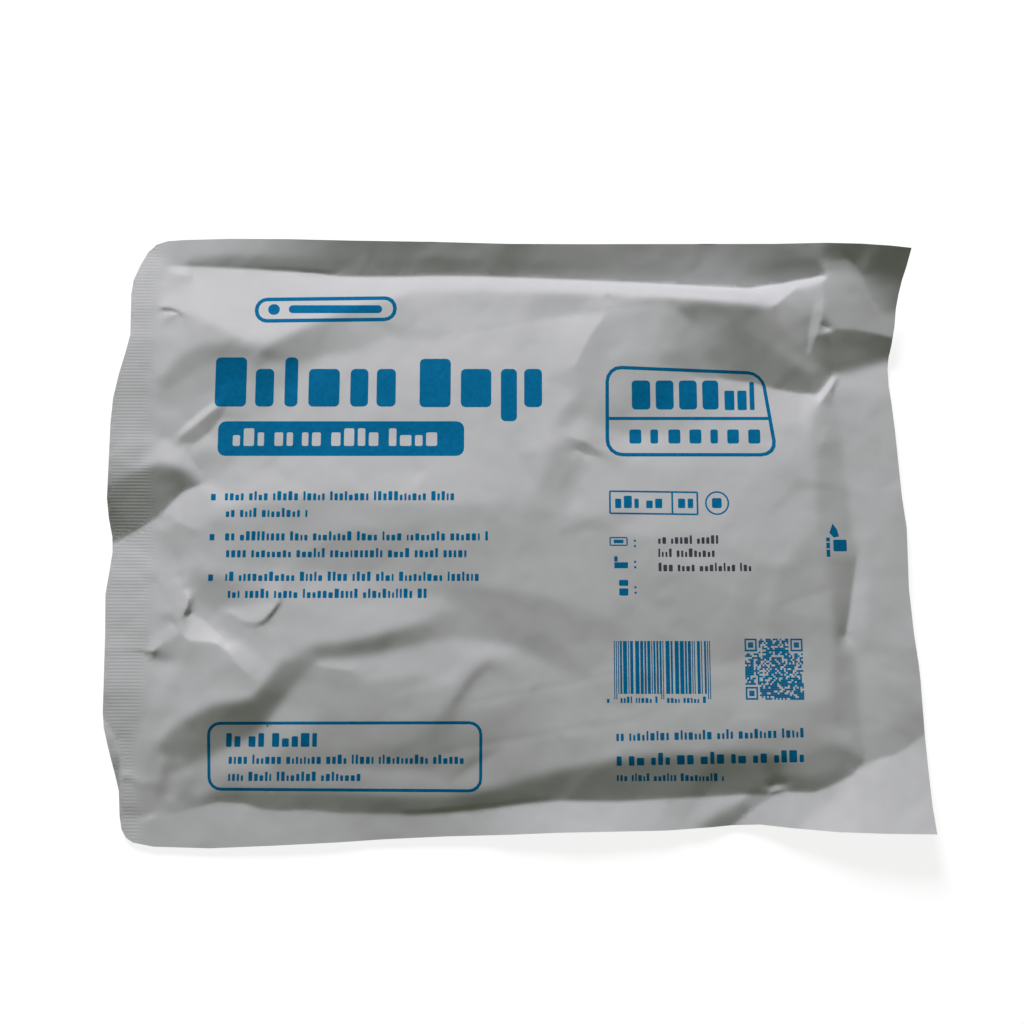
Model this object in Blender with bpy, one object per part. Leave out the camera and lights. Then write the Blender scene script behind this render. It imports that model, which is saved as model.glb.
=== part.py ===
"""A sealed paper pouch, lying flat, with a folded drainage bag packed inside it.

The pouch is one closed body. Its two webs meet in a seal on all four sides, and the packed
bag swells the pocket between them. The front web is draped over named folds. Each fold is a
line of points (x, y, height) in millimetres, drawn on the pouch as the photograph shows it
from above: x runs to the right and y runs up the pouch, both from its middle, and height is
above the table. The places were read as if all of the paper lay at one height, so each is
moved along its line of sight to its own. The back web lies flat under the contents.
"""
import math

import bmesh
import bpy
import numpy as np
from mathutils import Vector
from mathutils.bvhtree import BVHTree
from mathutils.geometry import delaunay_2d_cdt
from mathutils.kdtree import KDTree

NAME = "sealed_pouch"

# Sizes in metres.
POUCH_WIDTH = 0.265
POUCH_HEIGHT = 0.200
LEFT_SEAL = 0.0110
RIGHT_SEAL = 0.0245
TOP_SEAL = 0.0150
BOTTOM_SEAL = 0.0105
CONTENTS_DEPTH = 0.0150
SEAL_THICKNESS = 0.0004
FLAT_BELOW = 0.00005

# The folds are drawn in millimetres on a pouch of these sizes.
DRAWN_WIDTH = 265.0
DRAWN_HEIGHT = 200.0
DRAWN_LEFT_SEAL = 11.0
DRAWN_RIGHT_SEAL = 24.5
DRAWN_TOP_SEAL = 15.0
DRAWN_BOTTOM_SEAL = 10.5
DRAWN_DEPTH = 15.0

# Where the camera stood, in drawn millimetres and degrees, and the height that places were read at.
CAMERA_DISTANCE = 480.0
CAMERA_TILT = 9.39
CAMERA_AIM = (-4.07, 6.64)
READ_HEIGHT = 8.0

# Sheet resolution and smoothing, in drawn millimetres.
CELL = 1.0
SOFT_RADIUS = 1.6
CRISP_RADIUS = 0.7
CRISP_REACH = 2.6
SAMPLE_STEP = 2.0
FRONT_TRIANGLES = 6900
RAY_START = 100.0

# Sides of the pouch as they lie, in drawn millimetres (x, y).
LEFT_SIDE = (
    (-126.8, -99.8), (-128.4, -97.2), (-129.2, -93), (-129.8, -85), (-131.2, -80), (-132.8, -75),
    (-134.4, -69.5), (-135.6, -65), (-136.1, -60), (-136.5, -35), (-137, -22), (-136, -14),
    (-135.3, -8), (-135.6, -3), (-137, 3), (-138, 10), (-138, 35), (-137.5, 44), (-136, 52),
    (-134, 60), (-132.7, 66), (-133, 80), (-132.4, 85), (-130.2, 90.5), (-127.8, 94.8),
)
RIGHT_SIDE = (
    (131.3, -98.7), (130.2, -90), (129.5, -80), (128.8, -68), (128.2, -50), (127.9, -45),
    (126.8, -35), (125.8, -20), (126, 0), (124.9, 10), (124.3, 20), (123.6, 32), (122.8, 42),
    (122.1, 48), (122, 54), (122.5, 58), (123.6, 62), (125, 69), (125.7, 75), (126.8, 80),
    (128.2, 85), (130, 90), (132, 96.5),
)
BOTTOM_SIDE = (
    (-126.8, -99.8), (-124.6, -101.2), (-118, -102.5), (-100, -103), (-80, -102.2), (-60, -101.2),
    (-45, -100.2), (-25, -99.3), (-5, -98.8), (10, -98.2), (30, -97.8), (45, -97.5), (60, -96.4),
    (66, -95.8), (75, -95.6), (85, -96.7), (100, -98), (115, -98.5), (131.3, -98.7),
)
TOP_SIDE = (
    (-127.8, 94.8), (-125, 97.5), (-121, 98.9), (-115, 99.3), (-100, 99.7), (-80, 99.6),
    (-60, 99.1), (-30, 98.6), (-5, 97.9), (20, 97.8), (85, 97.9), (103, 98.3), (115, 98),
    (125, 97.3), (132, 96.5),
)

# Folds where the two webs are sealed together: the back follows the front there.
# A crisp fold keeps its edge, and a soft one is rounded over.
SEAL_CRISP = {
    "top_crease": (
        (-121, 90, 4.2), (-112, 89.8, 3.2), (-100, 89.2, 3), (-85, 88.4, 3), (-70, 87.6, 3),
        (-62, 86.3, 3), (-45, 86.1, 3), (-30, 86.5, 3), (-15, 86.3, 3), (0, 85.7, 3), (20, 85, 3),
        (40, 84.2, 3), (60, 83.3, 3), (76, 82.6, 3), (88, 84.6, 3.6), (93, 85.4, 4.6), (97, 86, 5.8),
        (101, 86.8, 8),
    ),
    "bottom_crease": (
        (-119.5, -93.7, 2.2), (-115, -92.4, 2.4), (-110, -91.3, 2.8), (-100, -91.6, 2.8),
        (-88, -91.8, 2.8), (-80, -91.3, 2.8), (-70, -91, 2.8), (-60, -92, 2.8), (-45, -92.2, 2.8),
        (-35, -92.5, 2.8), (-20, -91.3, 2.8), (-10, -90.3, 2.6), (0, -89, 2.6), (10, -88.2, 2.6),
        (30, -88.4, 2.6), (45, -87.6, 2.6), (60, -86.8, 2.6), (70, -86.2, 2.6), (77, -85.8, 2.6),
        (83, -85.4, 2.8), (92, -85.6, 3), (97, -84, 3), (101, -82, 3), (105, -80, 3), (107.3, -77.5, 3),
        (109, -75.5, 3.2),
    ),
    "wedge": (
        (-139, -60, 3.6), (-135, -63.6, 2.8), (-132, -68, 2.3), (-130, -74, 2), (-129.6, -82, 1.8),
        (-129.6, -90, 1.8),
    ),
    "facet_apex": (
        (106.5, 90.4, 13.4), (109.5, 93, 14.4), (112.6, 90.6, 13.4), (114.5, 87, 12.4),
        (117.5, 79.5, 9.8), (120.5, 74, 8.2),
    ),
    "brow": (
        (104, 67.4, 9.3), (106, 67.9, 9.4), (112, 67.6, 8.4), (118, 66.4, 7.4), (124, 64.9, 6.6),
        (130, 63.5, 5.6),
    ),
    "brow_foot": ((103.6, 51.7, 1.4), (110, 53.2, 1.3), (116, 55, 1.7), (122, 57, 2.1), (129, 57.6, 2.6)),
    "corner_line": (
        (109, -75.5, 3.2), (114, -74.8, 2.9), (118, -74, 2.7), (123, -71.5, 2.5), (126, -69, 2.5),
        (134, -64, 2.7),
    ),
    "flange_fold": ((65.5, -100, 2), (67.5, -95.5, 2), (70.5, -91, 2.2), (77, -86.3, 2.7)),
    "curl_foot_outer": ((-142, -5, 1.4), (-134, -3, 1.7), (-127, 1, 2.2), (-121, 4.2, 3)),
}
SEAL_SOFT = {
    "top_edge": (
        (-142, 99, 5), (-134, 103, 4), (-125, 104, 3.8), (-110, 104, 4.6), (-100, 104, 5.4),
        (-88, 104, 7.2), (-75, 103.5, 9.4), (-62, 103.5, 10.8), (-45, 103, 11), (-30, 103, 10.8),
        (-18, 102.5, 10.6), (-9, 102.5, 11.2), (0, 102.5, 10.8), (12, 102, 10.4), (30, 102, 10.4),
        (60, 102, 11.2), (78, 102, 12), (92, 102.5, 14.2), (103, 103, 20.5), (112, 103, 22.5),
        (124, 102, 24.5), (137, 101, 25),
    ),
    "flange_mid": (
        (-112, 93, 3.9), (-100, 93.5, 4.8), (-90, 93.5, 5.3), (-75, 93, 5.9), (-60, 92.5, 6.4),
        (-30, 92.5, 6.2), (-8, 92.5, 6.3), (10, 92, 6.2), (40, 91, 6.2), (62, 90, 6.2), (80, 90.5, 7.2),
        (93, 92, 10.2), (102, 93.5, 14.6),
    ),
    "left_edge": (
        (-142, 99, 5), (-142, 88, 7.2), (-142, 76, 9), (-142, 60, 11), (-142, 45, 12), (-142, 30, 12.6),
        (-142, 20, 12.8), (-142, 12, 12.2), (-142, 5, 7.6), (-142, -2, 2.6), (-142, -6, 1.4),
        (-142, -14, 2.8), (-142, -24, 3.8), (-142, -38, 4.4), (-142, -50, 4.8), (-142, -57, 5),
        (-141, -63, 7.4), (-139, -70, 9), (-137, -78, 8), (-135, -88, 4.6), (-133, -98, 1.8),
        (-130, -106, 1),
    ),
    "bottom_edge": (
        (-130, -106, 1), (-120, -107, 0.9), (-100, -107, 1.4), (-80, -106, 1.8), (-60, -105, 1.4),
        (-45, -104.5, 1), (-30, -103.5, 1), (-15, -103, 1.8), (0, -103, 3.4), (15, -102, 5),
        (30, -102, 4.8), (45, -102, 3.6), (57, -101, 1.4), (65, -100, 1), (72, -100, 3), (80, -100, 4.8),
        (92, -101, 6.4), (105, -102, 7.6), (120, -103, 8.6), (137, -103, 9.6),
    ),
    "right_edge": (
        (137, 101, 25), (136, 92, 19), (133, 83, 12.6), (131, 75, 7.8), (130, 66, 6.2), (130, 61, 4.4),
        (129, 57, 2.8), (128, 52, 2.8), (127, 46, 3.4), (128, 38, 3.6), (129, 20, 4), (131, 0, 3.8),
        (131, -20, 3.4), (132, -36, 4.2), (133, -50, 4.4), (134, -60, 3.6), (134, -66, 2.8),
        (134, -74, 4), (135, -90, 7), (137, -103, 9.6),
    ),
    "left_crease": (
        (-121, 90, 4.2), (-123.5, 76, 6.4), (-124.5, 66, 7.4), (-124.5, 55, 7.4), (-123.5, 44, 7.8),
        (-122.5, 32, 8.8), (-122, 21.5, 9.8),
    ),
    "left_crease_low": (
        (-120, 1.5, 3.2), (-120, -6, 3.2), (-119.5, -13, 3.8), (-120.5, -26, 4.6), (-121.5, -34, 4.6),
        (-123.5, -41, 3.8), (-122.5, -50, 4.2), (-123, -60, 3.4), (-124.8, -72, 2.6), (-125.5, -82, 2.2),
        (-121.5, -93.7, 1.8),
    ),
    "right_crease": (
        (109, -75.5, 3.2), (108.6, -70, 3.6), (108.2, -60, 3.6), (107.8, -50, 3.6), (107, -40, 3.4),
        (104.8, -36.6, 3),
    ),
    "right_crease_top": (
        (109.2, -8, 3.4), (108, 0, 3.4), (107, 10, 3.4), (106, 22, 3.5), (105, 36, 3.6),
        (104.5, 46, 3.4),
    ),
    "block_ridge": ((112, -6, 4), (112.5, -18, 4.4), (111.5, -28, 4.4), (110.8, -35.6, 4.2)),
    "right_mid": (
        (116, 44, 3.6), (116, 25, 3.8), (117, 5, 4), (119, -10, 4.2), (120, -30, 4), (121, -50, 4.2),
        (120, -64, 3.6),
    ),
    "flange_dark": ((48, -92, 3.7), (58, -92, 3.4), (66, -90, 3)),
    "corner_foot": ((-128, -93, 1.4), (-121, -93, 1.6), (-116, -90.5, 2.2)),
    "curl_crest_outer": (
        (-142, 9, 12), (-138, 12.4, 12), (-134, 15.4, 11.8), (-129, 18.2, 11.2), (-124, 20.2, 10.5),
    ),
}

# Folds in the pocket, over the packed bag: the back is flat on the table under them.
POCKET_CRISP = {
    "block_foot": ((104.3, -35.5, 3.2), (105.8, -29, 3), (107.6, -19, 3), (109.2, -10, 3.4)),
    "streak": ((-114.6, 30.6, 7.6), (-110.5, 34.2, 8.2), (-105.5, 38.6, 8.6), (-101, 42, 8.8)),
    "streak_top": ((-115.6, 32.4, 7.2), (-111.6, 36, 7.1), (-106.8, 40.4, 7.3), (-102.4, 43.6, 7.9)),
    "streak_foot": (
        (-113.6, 28.6, 6.9), (-109.5, 28.4, 6.7), (-105, 32, 6.8), (-101.6, 36.5, 7.4), (-100, 40, 8.2),
    ),
    "curl_foot": ((-118.8, 5.4, 3.4), (-116, 9, 4.2), (-113, 12, 5), (-107.2, 14.6, 6.6)),
    "crescent_ridge": ((-119.2, -18, 4.6), (-117.2, -22, 5.4), (-115.4, -26, 6.4), (-114.4, -29.6, 7.2)),
    "bright_ridge": (
        (-114.8, -31, 6.2), (-112.4, -34.6, 8.4), (-108.6, -37.2, 10), (-103, -37.4, 10.8),
        (-99.4, -38, 11.4), (-96.6, -40.4, 12), (-93.6, -44.4, 12.8), (-90, -47.6, 13.4),
        (-87.2, -50.6, 13.9),
    ),
    "lens": (
        (-95.8, -28.2, 9.8), (-92, -30.6, 10.9), (-88, -31.2, 11.9), (-85.4, -30.6, 12.6),
        (-82.8, -27.8, 12.9), (-80.6, -24.8, 12.8),
    ),
    "lens_foot": (
        (-92, -32.4, 10.7), (-87.6, -33, 11.6), (-84.4, -31.8, 11.8), (-81.6, -28.4, 11.7),
        (-79.4, -25, 11.9),
    ),
    "tip": ((-123.5, -40.2, 4.4), (-120.6, -40.6, 6), (-117.8, -38, 6.2)),
    "spark": ((-69, -44.6, 12.7), (-64, -45.8, 13.3), (-56, -46.8, 13.5)),
    "crease_29": (
        (29, 81, 8.2), (28.6, 76, 9.2), (26.5, 71.5, 9.8), (22.5, 66, 10.3), (19.5, 60, 10.7),
        (17, 55, 11.2),
    ),
    "spot_crest": ((15, 30.5, 12.5), (20, 29.3, 12.3), (24.5, 26.2, 11.9)),
    "spot_foot": ((17, 26.5, 11.8), (20.5, 24.5, 11.4), (24.5, 24, 11.4)),
    "box_foot": (
        (58, 51, 6.2), (66, 50.5, 5.2), (76, 49.2, 4.2), (84, 47, 3.4), (92, 45.5, 2.8),
        (98.3, 44.9, 2.6),
    ),
    "white_facet": ((84.5, 75.6, 11.6), (88, 79, 11.2), (92, 82, 10.4)),
    "fold_valley": ((99.8, 81, 10.6), (98.6, 77, 9), (97, 73, 7.4), (95.9, 66, 6.5), (95.4, 60, 5.9)),
    "facet_left": (
        (105, 89, 12.8), (102.4, 84, 11.4), (101.2, 78, 10.2), (101, 74, 9.4), (100.4, 70.6, 9),
        (98.4, 65.5, 8.2), (96.6, 60.8, 6.8),
    ),
    "dimple": ((100.4, 69.2, 8.2), (102, 68.3, 8), (103.4, 67.4, 8.8)),
    "edge_strip": ((98.3, 41.5, 5), (101.2, 45.2, 4.8), (103.6, 50.4, 3)),
    "side_valley": ((104.2, 47.5, 3.2), (102.6, 41, 3.8), (101, 35, 4.8), (99.5, 29, 6.4)),
    "spot_75": ((-122.5, 75.6, 7.6), (-119, 75.2, 7.9), (-115.5, 73.6, 8.5)),
    "spot_75_foot": ((-121.5, 74.4, 6.9), (-118.5, 73.6, 7.2), (-116, 72.6, 8)),
    "patch_crease": ((-113.4, 27.6, 7.6), (-110.6, 23, 7.2), (-107.4, 18.8, 6.8)),
    "crescent_edge": (
        (-114.2, -16.6, 5.6), (-111.6, -20, 7.2), (-109.8, -23.6, 9), (-110.2, -26.6, 9.4),
        (-111.4, -29.4, 8.8),
    ),
    "bright_ridge_top": (
        (-111.4, -29.4, 8.2), (-109, -28.2, 7.2), (-104.6, -30.4, 7.6), (-100.4, -34.2, 8.6),
        (-97.2, -38.6, 10.4),
    ),
    "brow_root": ((99, 64.5, 7.8), (102, 66.6, 9)),
    "brow_foot_root": ((97.5, 55.5, 4), (99.5, 52.6, 2.6), (101.4, 52, 1.9)),
}
POCKET_SOFT = {
    "top_shoulder": (
        (-112, 84, 4.8), (-100, 84, 4.7), (-80, 83, 5), (-60, 82, 5.6), (-45, 81.3, 6), (-30, 81.3, 6.1),
        (-15, 81.8, 6.2), (0, 81.6, 6.6), (20, 81.3, 8), (36, 80.6, 9.4),
    ),
    "right_shoulder": (
        (95, 33, 7.2), (97, 24, 7.6), (96.5, 12, 8.2), (97, 0, 8.6), (99, -12, 8.2), (100.5, -25, 7.8),
        (101, -35, 7.4), (100.5, -48, 7.4), (100, -60, 7.6), (99, -65, 7.6),
    ),
    "bottom_shoulder": (
        (-116, -88, 2.8), (-108, -87.6, 3.4), (-97, -87, 4.2), (-85, -86.2, 5.2), (-70, -85.6, 5.8),
        (-60, -85.2, 6.2), (-45, -85.4, 6.6), (-30, -85.6, 6.8), (-15, -84.4, 7.2), (-5, -81, 8),
        (5, -78, 9), (15, -76.2, 9.7), (30, -74, 10.2), (45, -73.5, 10.5), (60, -73, 10.6),
        (72, -71.5, 10.6), (80, -71.6, 10.2), (86, -73, 9.3), (92, -72.4, 8.6), (99, -69.8, 8),
        (103, -70.6, 6.8), (106.5, -73, 5), (109, -75.5, 3.2),
    ),
    "bottom_low": ((80, -81, 4.8), (86, -81.5, 4.4), (92, -81, 4.6), (98, -79, 4.4), (103, -76.5, 4.2)),
    "plateau_crest": (
        (-119, 73, 8.2), (-112, 73, 9), (-107, 70.6, 9.9), (-100, 66.6, 10.9), (-92, 63.2, 11.6),
        (-87, 61.4, 11.9), (-80, 65.4, 11.2), (-70, 69.3, 10.4), (-58, 72, 9.4), (-45, 76, 7.9),
        (-36, 79, 6.8),
    ),
    "arc_top": (
        (-121.5, 51.8, 8.9), (-118, 56.5, 9.2), (-113, 60.8, 9.6), (-106, 63.4, 10.3), (-98, 62.8, 10.9),
        (-92.5, 61.2, 11.3),
    ),
    "arc_foot": (
        (-121, 47, 7.3), (-118, 47.6, 6.9), (-113, 51.6, 7.3), (-107, 55.6, 8), (-100, 57.8, 8.9),
        (-93.5, 58.2, 9.9),
    ),
    "crest_foot": (
        (-85, 57, 9.7), (-78, 56, 9), (-68, 58, 8.6), (-55, 61, 8.2), (-42, 67, 7.4), (-30, 73, 7),
        (-18, 77, 6.6),
    ),
    "swell_hollow": ((-82, 48, 9.2), (-83, 42, 9.2), (-85, 37, 9.6)),
    "left_mid": ((-118, 42, 7.2), (-108, 45, 7.2), (-98, 50, 8.4)),
    "light_patch": ((-121, 30, 8.2), (-116, 27.5, 8.4), (-113.4, 25.4, 8.2)),
    "curl_crest": ((-121.5, 20.6, 10.2), (-117, 20.6, 9.6), (-112, 18.8, 8.4), (-107.4, 14.8, 6.6)),
    "facet_top": (
        (-111.5, -3.5, 7.4), (-106.5, -2.5, 9.4), (-103, 2, 10.4), (-103, 7, 9.9), (-104.6, 12, 8.4),
    ),
    "swell_low": ((-98, 24, 8.6), (-88, 24.5, 9.8), (-72, 26, 11.2), (-55, 27, 12.2)),
    "swell_top": ((-97, 7, 10), (-88, 8, 11.2), (-74, 10, 12.4), (-58, 12, 13.2)),
    "text_flat": ((-100, -8, 10.2), (-85, -8, 11.6), (-65, -8, 12.8), (-48, -8, 13.8)),
    "soft_streak": ((-117.5, -4.5, 4.4), (-114.5, -10, 4.8), (-112.5, -15, 5.6)),
    "crescent_top": ((-120, -15, 4.2), (-117, -14, 4.6), (-114.5, -14.5, 5.4)),
    "pocket_rim": (
        (-112.4, -15.5, 6.6), (-109, -15.5, 8.4), (-104, -16, 9.6), (-98, -18.5, 10.2), (-92, -22, 10.4),
    ),
    "pocket_floor": (
        (-109.2, -28, 7.4), (-108, -24, 7.2), (-107.4, -20.6, 7.6), (-104, -25.4, 7.6), (-101, -29, 8),
        (-98, -33, 8.8), (-95, -37, 9.8),
    ),
    "ridge_below": ((-116, -42, 6), (-110, -45, 8.4), (-104, -46, 10.4), (-103, -53, 10.8)),
    "lens_top": ((-94, -26, 10), (-89, -25.5, 10.8), (-84.5, -24.5, 12.2)),
    "olive": ((-94.4, -35, 10.4), (-91, -38.6, 11.6), (-86, -42, 12.6), (-82.6, -45, 13.6)),
    "right_of_lens": ((-76, -32, 13), (-66, -30, 13.6), (-55, -27, 13.9)),
    "bump_top": (
        (-99.5, -49.5, 11.6), (-95.5, -53.8, 12.8), (-91.5, -55.8, 13.4), (-88, -54.6, 13.8),
        (-86.8, -52, 13.9),
    ),
    "bump_mid": ((-97, -44, 12.2), (-93, -49, 12.8)),
    "tip_foot": ((-122, -42.6, 3.9), (-118, -43.6, 4.4), (-114.5, -43.5, 5.6)),
    "light_streak": (
        (-112.6, -45, 7.6), (-115.5, -53, 6.8), (-118.6, -61, 5.6), (-121.6, -69, 4.2), (-123, -77, 3.2),
        (-122.6, -86, 2.6),
    ),
    "scarp_top": (
        (-69.3, -44.2, 13), (-75, -42.4, 13.6), (-79.5, -43.8, 13.9), (-82.5, -48, 14.2),
        (-85.3, -52.3, 14.2), (-89, -55.8, 13.8), (-94.5, -58.4, 12.8), (-101, -61, 11.4),
        (-108, -63.8, 9.6), (-114, -66.4, 7.6), (-117.5, -69.5, 5.8), (-119.5, -75, 4.2), (-120, -83, 3),
    ),
    "scarp_foot": (
        (-69, -45, 12.8), (-73, -50, 11.6), (-77, -55, 10.8), (-80.5, -60, 10), (-85, -64, 9.2),
        (-92, -67, 8.2), (-100, -70, 7), (-107, -73.5, 5.8), (-113.5, -77.5, 4.6),
    ),
    "lobe": ((-114, -78, 4.6), (-111.5, -84, 3.6), (-110, -89, 3)),
    "second_crest": (
        (-69.4, -38.6, 14), (-60, -37.6, 14.6), (-48, -35, 15), (-36, -31.8, 14.8), (-28, -28, 14.6),
    ),
    "second_foot": (
        (-66, -42.8, 12.9), (-58, -42.8, 12.9), (-46, -41, 13.3), (-35, -38.6, 13.4), (-27, -36.4, 12.8),
    ),
    "low_left": (
        (-72, -64, 11.6), (-55, -63, 12.8), (-38, -63, 13), (-76, -70, 10.4), (-58, -71, 11.2),
        (-38, -71, 11.4),
    ),
    "olive_crest": (
        (-32, -16, 14.8), (-22, -18, 15.3), (-10, -20, 15.4), (4, -24, 15), (16, -30, 14.2),
        (27, -36, 13.2),
    ),
    "olive_foot": (
        (-24, -36, 12.6), (-15, -37, 11.9), (-6, -38.5, 11.6), (4, -42.5, 11.4), (12, -47, 11.4),
        (22, -49, 11.6),
    ),
    "arch": (
        (-27, -61, 13.2), (-21.5, -53.5, 13.8), (-16.5, -46.8, 13.6), (-12, -43, 13),
        (-6.5, -43.8, 12.4), (-2, -49, 12.4), (1, -57, 12.2),
    ),
    "arch_hollow": (
        (-22.5, -60.5, 12.4), (-19.5, -54.5, 12.4), (-15.2, -48.6, 12.2), (-11.5, -47, 12),
        (-8, -51, 11.7), (-7, -60, 11.5), (-8, -70, 10.8),
    ),
    "mid_low": (
        (10, -56, 12.2), (25, -58, 12.6), (40, -60, 12.8), (60, -60, 12.8), (78, -60, 12.2),
        (92, -58, 10.4), (99, -56, 8.4),
    ),
    "mid_right": ((30, -34, 12), (45, -36, 11.9), (62, -38, 11.7), (80, -38, 11)),
    "mid_right_top": ((25, -8, 13.4), (45, -10, 13.4), (65, -10, 13.2), (85, -12, 11.6)),
    "upper_centre": ((-50, 50, 9.8), (-30, 50, 10.2), (-8, 52, 10.2), (8, 50, 10.6)),
    "upper_centre_2": ((-45, 30, 12), (-25, 30, 12.4), (-5, 30, 12.8)),
    "centre": ((-40, 8, 14.2), (-20, 8, 14.4), (-8, 8, 14)),
    "top_centre": ((-10, 72, 7), (5, 72, 7.1), (18, 73, 7.4)),
    "crease_29_foot": ((36, 77, 9.7), (34, 70, 9.5), (29, 61, 9.6), (26, 53, 9.9), (24, 46, 10.2)),
    "smudge_crest": ((9, 33, 12.8), (13, 40, 12.2), (18, 46, 11.4)),
    "smudge_foot": ((15, 34, 11.6), (20, 39, 10.8), (23, 43, 10.4)),
    "upright_crest": ((9, 27, 13.6), (7, 18, 13.4), (2, 6, 12.8)),
    "upright_foot": ((18, 24, 12.4), (17, 12, 11.6), (12, 0, 11.4), (2, -8, 12)),
    "box_inside": ((36, 60, 10), (48, 60, 9.4), (36, 45, 9.2), (48, 44, 8.2)),
    "right_centre": ((34, 22, 11.2), (50, 20, 10.8), (70, 20, 9.6), (84, 20, 8.8)),
    "box_crest": (
        (36, 80.6, 9.8), (44, 80.4, 10.8), (50, 80.2, 12), (56, 80, 13.4), (64, 79.6, 15.2),
        (72, 79, 16), (78, 78, 15.6), (84.5, 75.6, 12.8),
    ),
    "box_side": ((54.5, 74.5, 11.4), (57, 69.5, 9.8), (59, 63, 8.6), (59.5, 56, 7.2), (58, 51.5, 6.2)),
    "box_below": ((58, 42, 7.4), (70, 38, 6.8), (82, 35, 6.8), (92, 35, 6.4)),
    "diag_ridge": (
        (71, 70.5, 12.6), (77, 66, 11.4), (85, 60.5, 10), (91, 56.3, 8.2), (94.5, 54, 7),
        (96.5, 49.5, 4.2),
    ),
    "diag_valley": (
        (80, 74.2, 11.2), (83, 71.8, 10), (88, 67.5, 8.4), (92.5, 63, 7.1), (95.3, 59.5, 6.1),
        (96.6, 55, 4.6),
    ),
    "top_band": ((80, 80, 8.2), (88, 81.6, 9), (93, 83.2, 9.8), (97.5, 84, 10.4), (101, 85.2, 11)),
    "box_point": ((50, 76, 10.8), (54, 75, 11.6), (60, 75, 12)),
    "bottom_slope": (
        (-95, -79, 6.8), (-84, -78, 8.2), (-72, -78, 9), (-58, -78, 9.2), (-40, -78, 9.2),
        (-25, -78, 9.2), (-12, -77, 9.4),
    ),
    "low_mid": ((-64, -52, 12.8), (-48, -50, 13.7), (-34, -48, 13.9)),
    "mid_lower": (
        (8, -68, 11), (25, -67, 11.6), (45, -66.5, 12), (60, -66.5, 12), (76, -66, 11.4),
        (92, -65.5, 9.6),
    ),
    "mid_right_crest": ((30, -24, 13.2), (45, -25, 13.4), (62, -25, 13.2), (80, -25, 12.2)),
    "plateau_left": ((-112.5, 87.5, 3.6), (-112, 82, 5.8), (-111.5, 77, 7.4)),
    "plateau_corner": ((-119, 87, 5.4), (-118, 80, 6.4)),
    "bright_tip": ((-90.5, 60, 11.2), (-90, 57, 10.8), (-89.5, 54.5, 10), (-88, 50, 9.6)),
    "patch_right": ((-106, 27, 7.4), (-103.5, 21, 7.4), (-103.5, 15.5, 7.4)),
    "facet_low": ((-119, -1, 4.2), (-115, -6.5, 5.2)),
    "olive_right": ((-84, -35, 12.6), (-78, -38, 13.4)),
    "lens_right": ((-82.6, -32, 12.2), (-79, -29, 12.8), (-76.5, -26, 13)),
    "tip_top": ((-121, -34, 4.6), (-117.5, -33.5, 5.4)),
    "streak_left": ((-118, -50, 4.8), (-121.5, -58, 3.8), (-124.5, -68, 2.6), (-126, -78, 2.2)),
    "streak_side": ((-110.5, -50, 8.4), (-113.5, -58, 7.6), (-117, -66, 5.8)),
    "corner_fold": ((-128, -80, 2.6), (-122.6, -83, 3.4), (-117, -82, 3.9), (-116, -76, 4.8)),
    "lobe_right": ((-107, -76, 5.6), (-105.5, -82, 4.2), (-104, -87.5, 3.2)),
    "streak_right": ((-108.5, -6, 8), (-107, -11, 8.8)),
    "light_27": ((-46, -22, 14.2), (-34, -22, 14.2), (-26, -23, 14.8)),
    "olive_mid": ((-20, -28, 13.4), (-8, -30, 13.2), (4, -34, 12.8), (14, -40, 12.3)),
}


def spans(width_seal, drawn_seal, other_seal, drawn_other, size, drawn_size):
    """Drawn places of the two edges and the two creases on one axis, and where they are built."""
    drawn = (-drawn_size / 2, -drawn_size / 2 + drawn_seal, drawn_size / 2 - drawn_other, drawn_size / 2)
    built = (-size / 2, -size / 2 + width_seal, size / 2 - other_seal, size / 2)
    return np.array(drawn), np.array(built)


X_DRAWN, X_BUILT = spans(LEFT_SEAL, DRAWN_LEFT_SEAL, RIGHT_SEAL, DRAWN_RIGHT_SEAL, POUCH_WIDTH, DRAWN_WIDTH)
Y_DRAWN, Y_BUILT = spans(BOTTOM_SEAL, DRAWN_BOTTOM_SEAL, TOP_SEAL, DRAWN_TOP_SEAL, POUCH_HEIGHT, DRAWN_HEIGHT)


def built_place(value, drawn, built):
    """Moves drawn millimetres to metres: seals keep their own widths and the pocket takes the rest."""
    inside = np.interp(value, drawn, built)
    below = np.minimum(value - drawn[0], 0) / 1000
    above = np.maximum(value - drawn[-1], 0) / 1000
    return inside + below + above


def along(line, shares):
    """Points at the given shares of a drawn line's length."""
    points = np.array(line, float)
    steps = np.hypot(*np.diff(points[:, :2], axis=0).T)
    run = np.concatenate([[0], np.cumsum(steps)])
    run /= run[-1]
    return np.stack([np.interp(shares, run, points[:, k]) for k in range(points.shape[1])], axis=-1)


def fold_points(folds, sealed):
    """Every fold sampled in even steps, as rows of x, y, front height and back height."""
    rows = []
    thickness = SEAL_THICKNESS * DRAWN_DEPTH / CONTENTS_DEPTH
    for line in folds.values():
        length = np.hypot(*np.diff(np.array(line)[:, :2], axis=0).T).sum()
        count = max(2, int(math.ceil(length / SAMPLE_STEP)) + 1)
        for x, y, height in along(line, np.linspace(0, 1, count)):
            rows.append((x, y, height, height - thickness if sealed else 0.0))
    return rows


def terrain(rows, column):
    """A triangulated surface through the folds, with one column of the rows as its height."""
    plan = [Vector(row[:2]) for row in rows]
    joined, _, faces, sources = delaunay_2d_cdt(plan, [], [], 0, SAMPLE_STEP / 50)[:4]
    points = [(p.x, p.y, rows[source[0]][column]) for p, source in zip(joined, sources)]
    return BVHTree.FromPolygons(points, [tuple(face) for face in faces])


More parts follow.
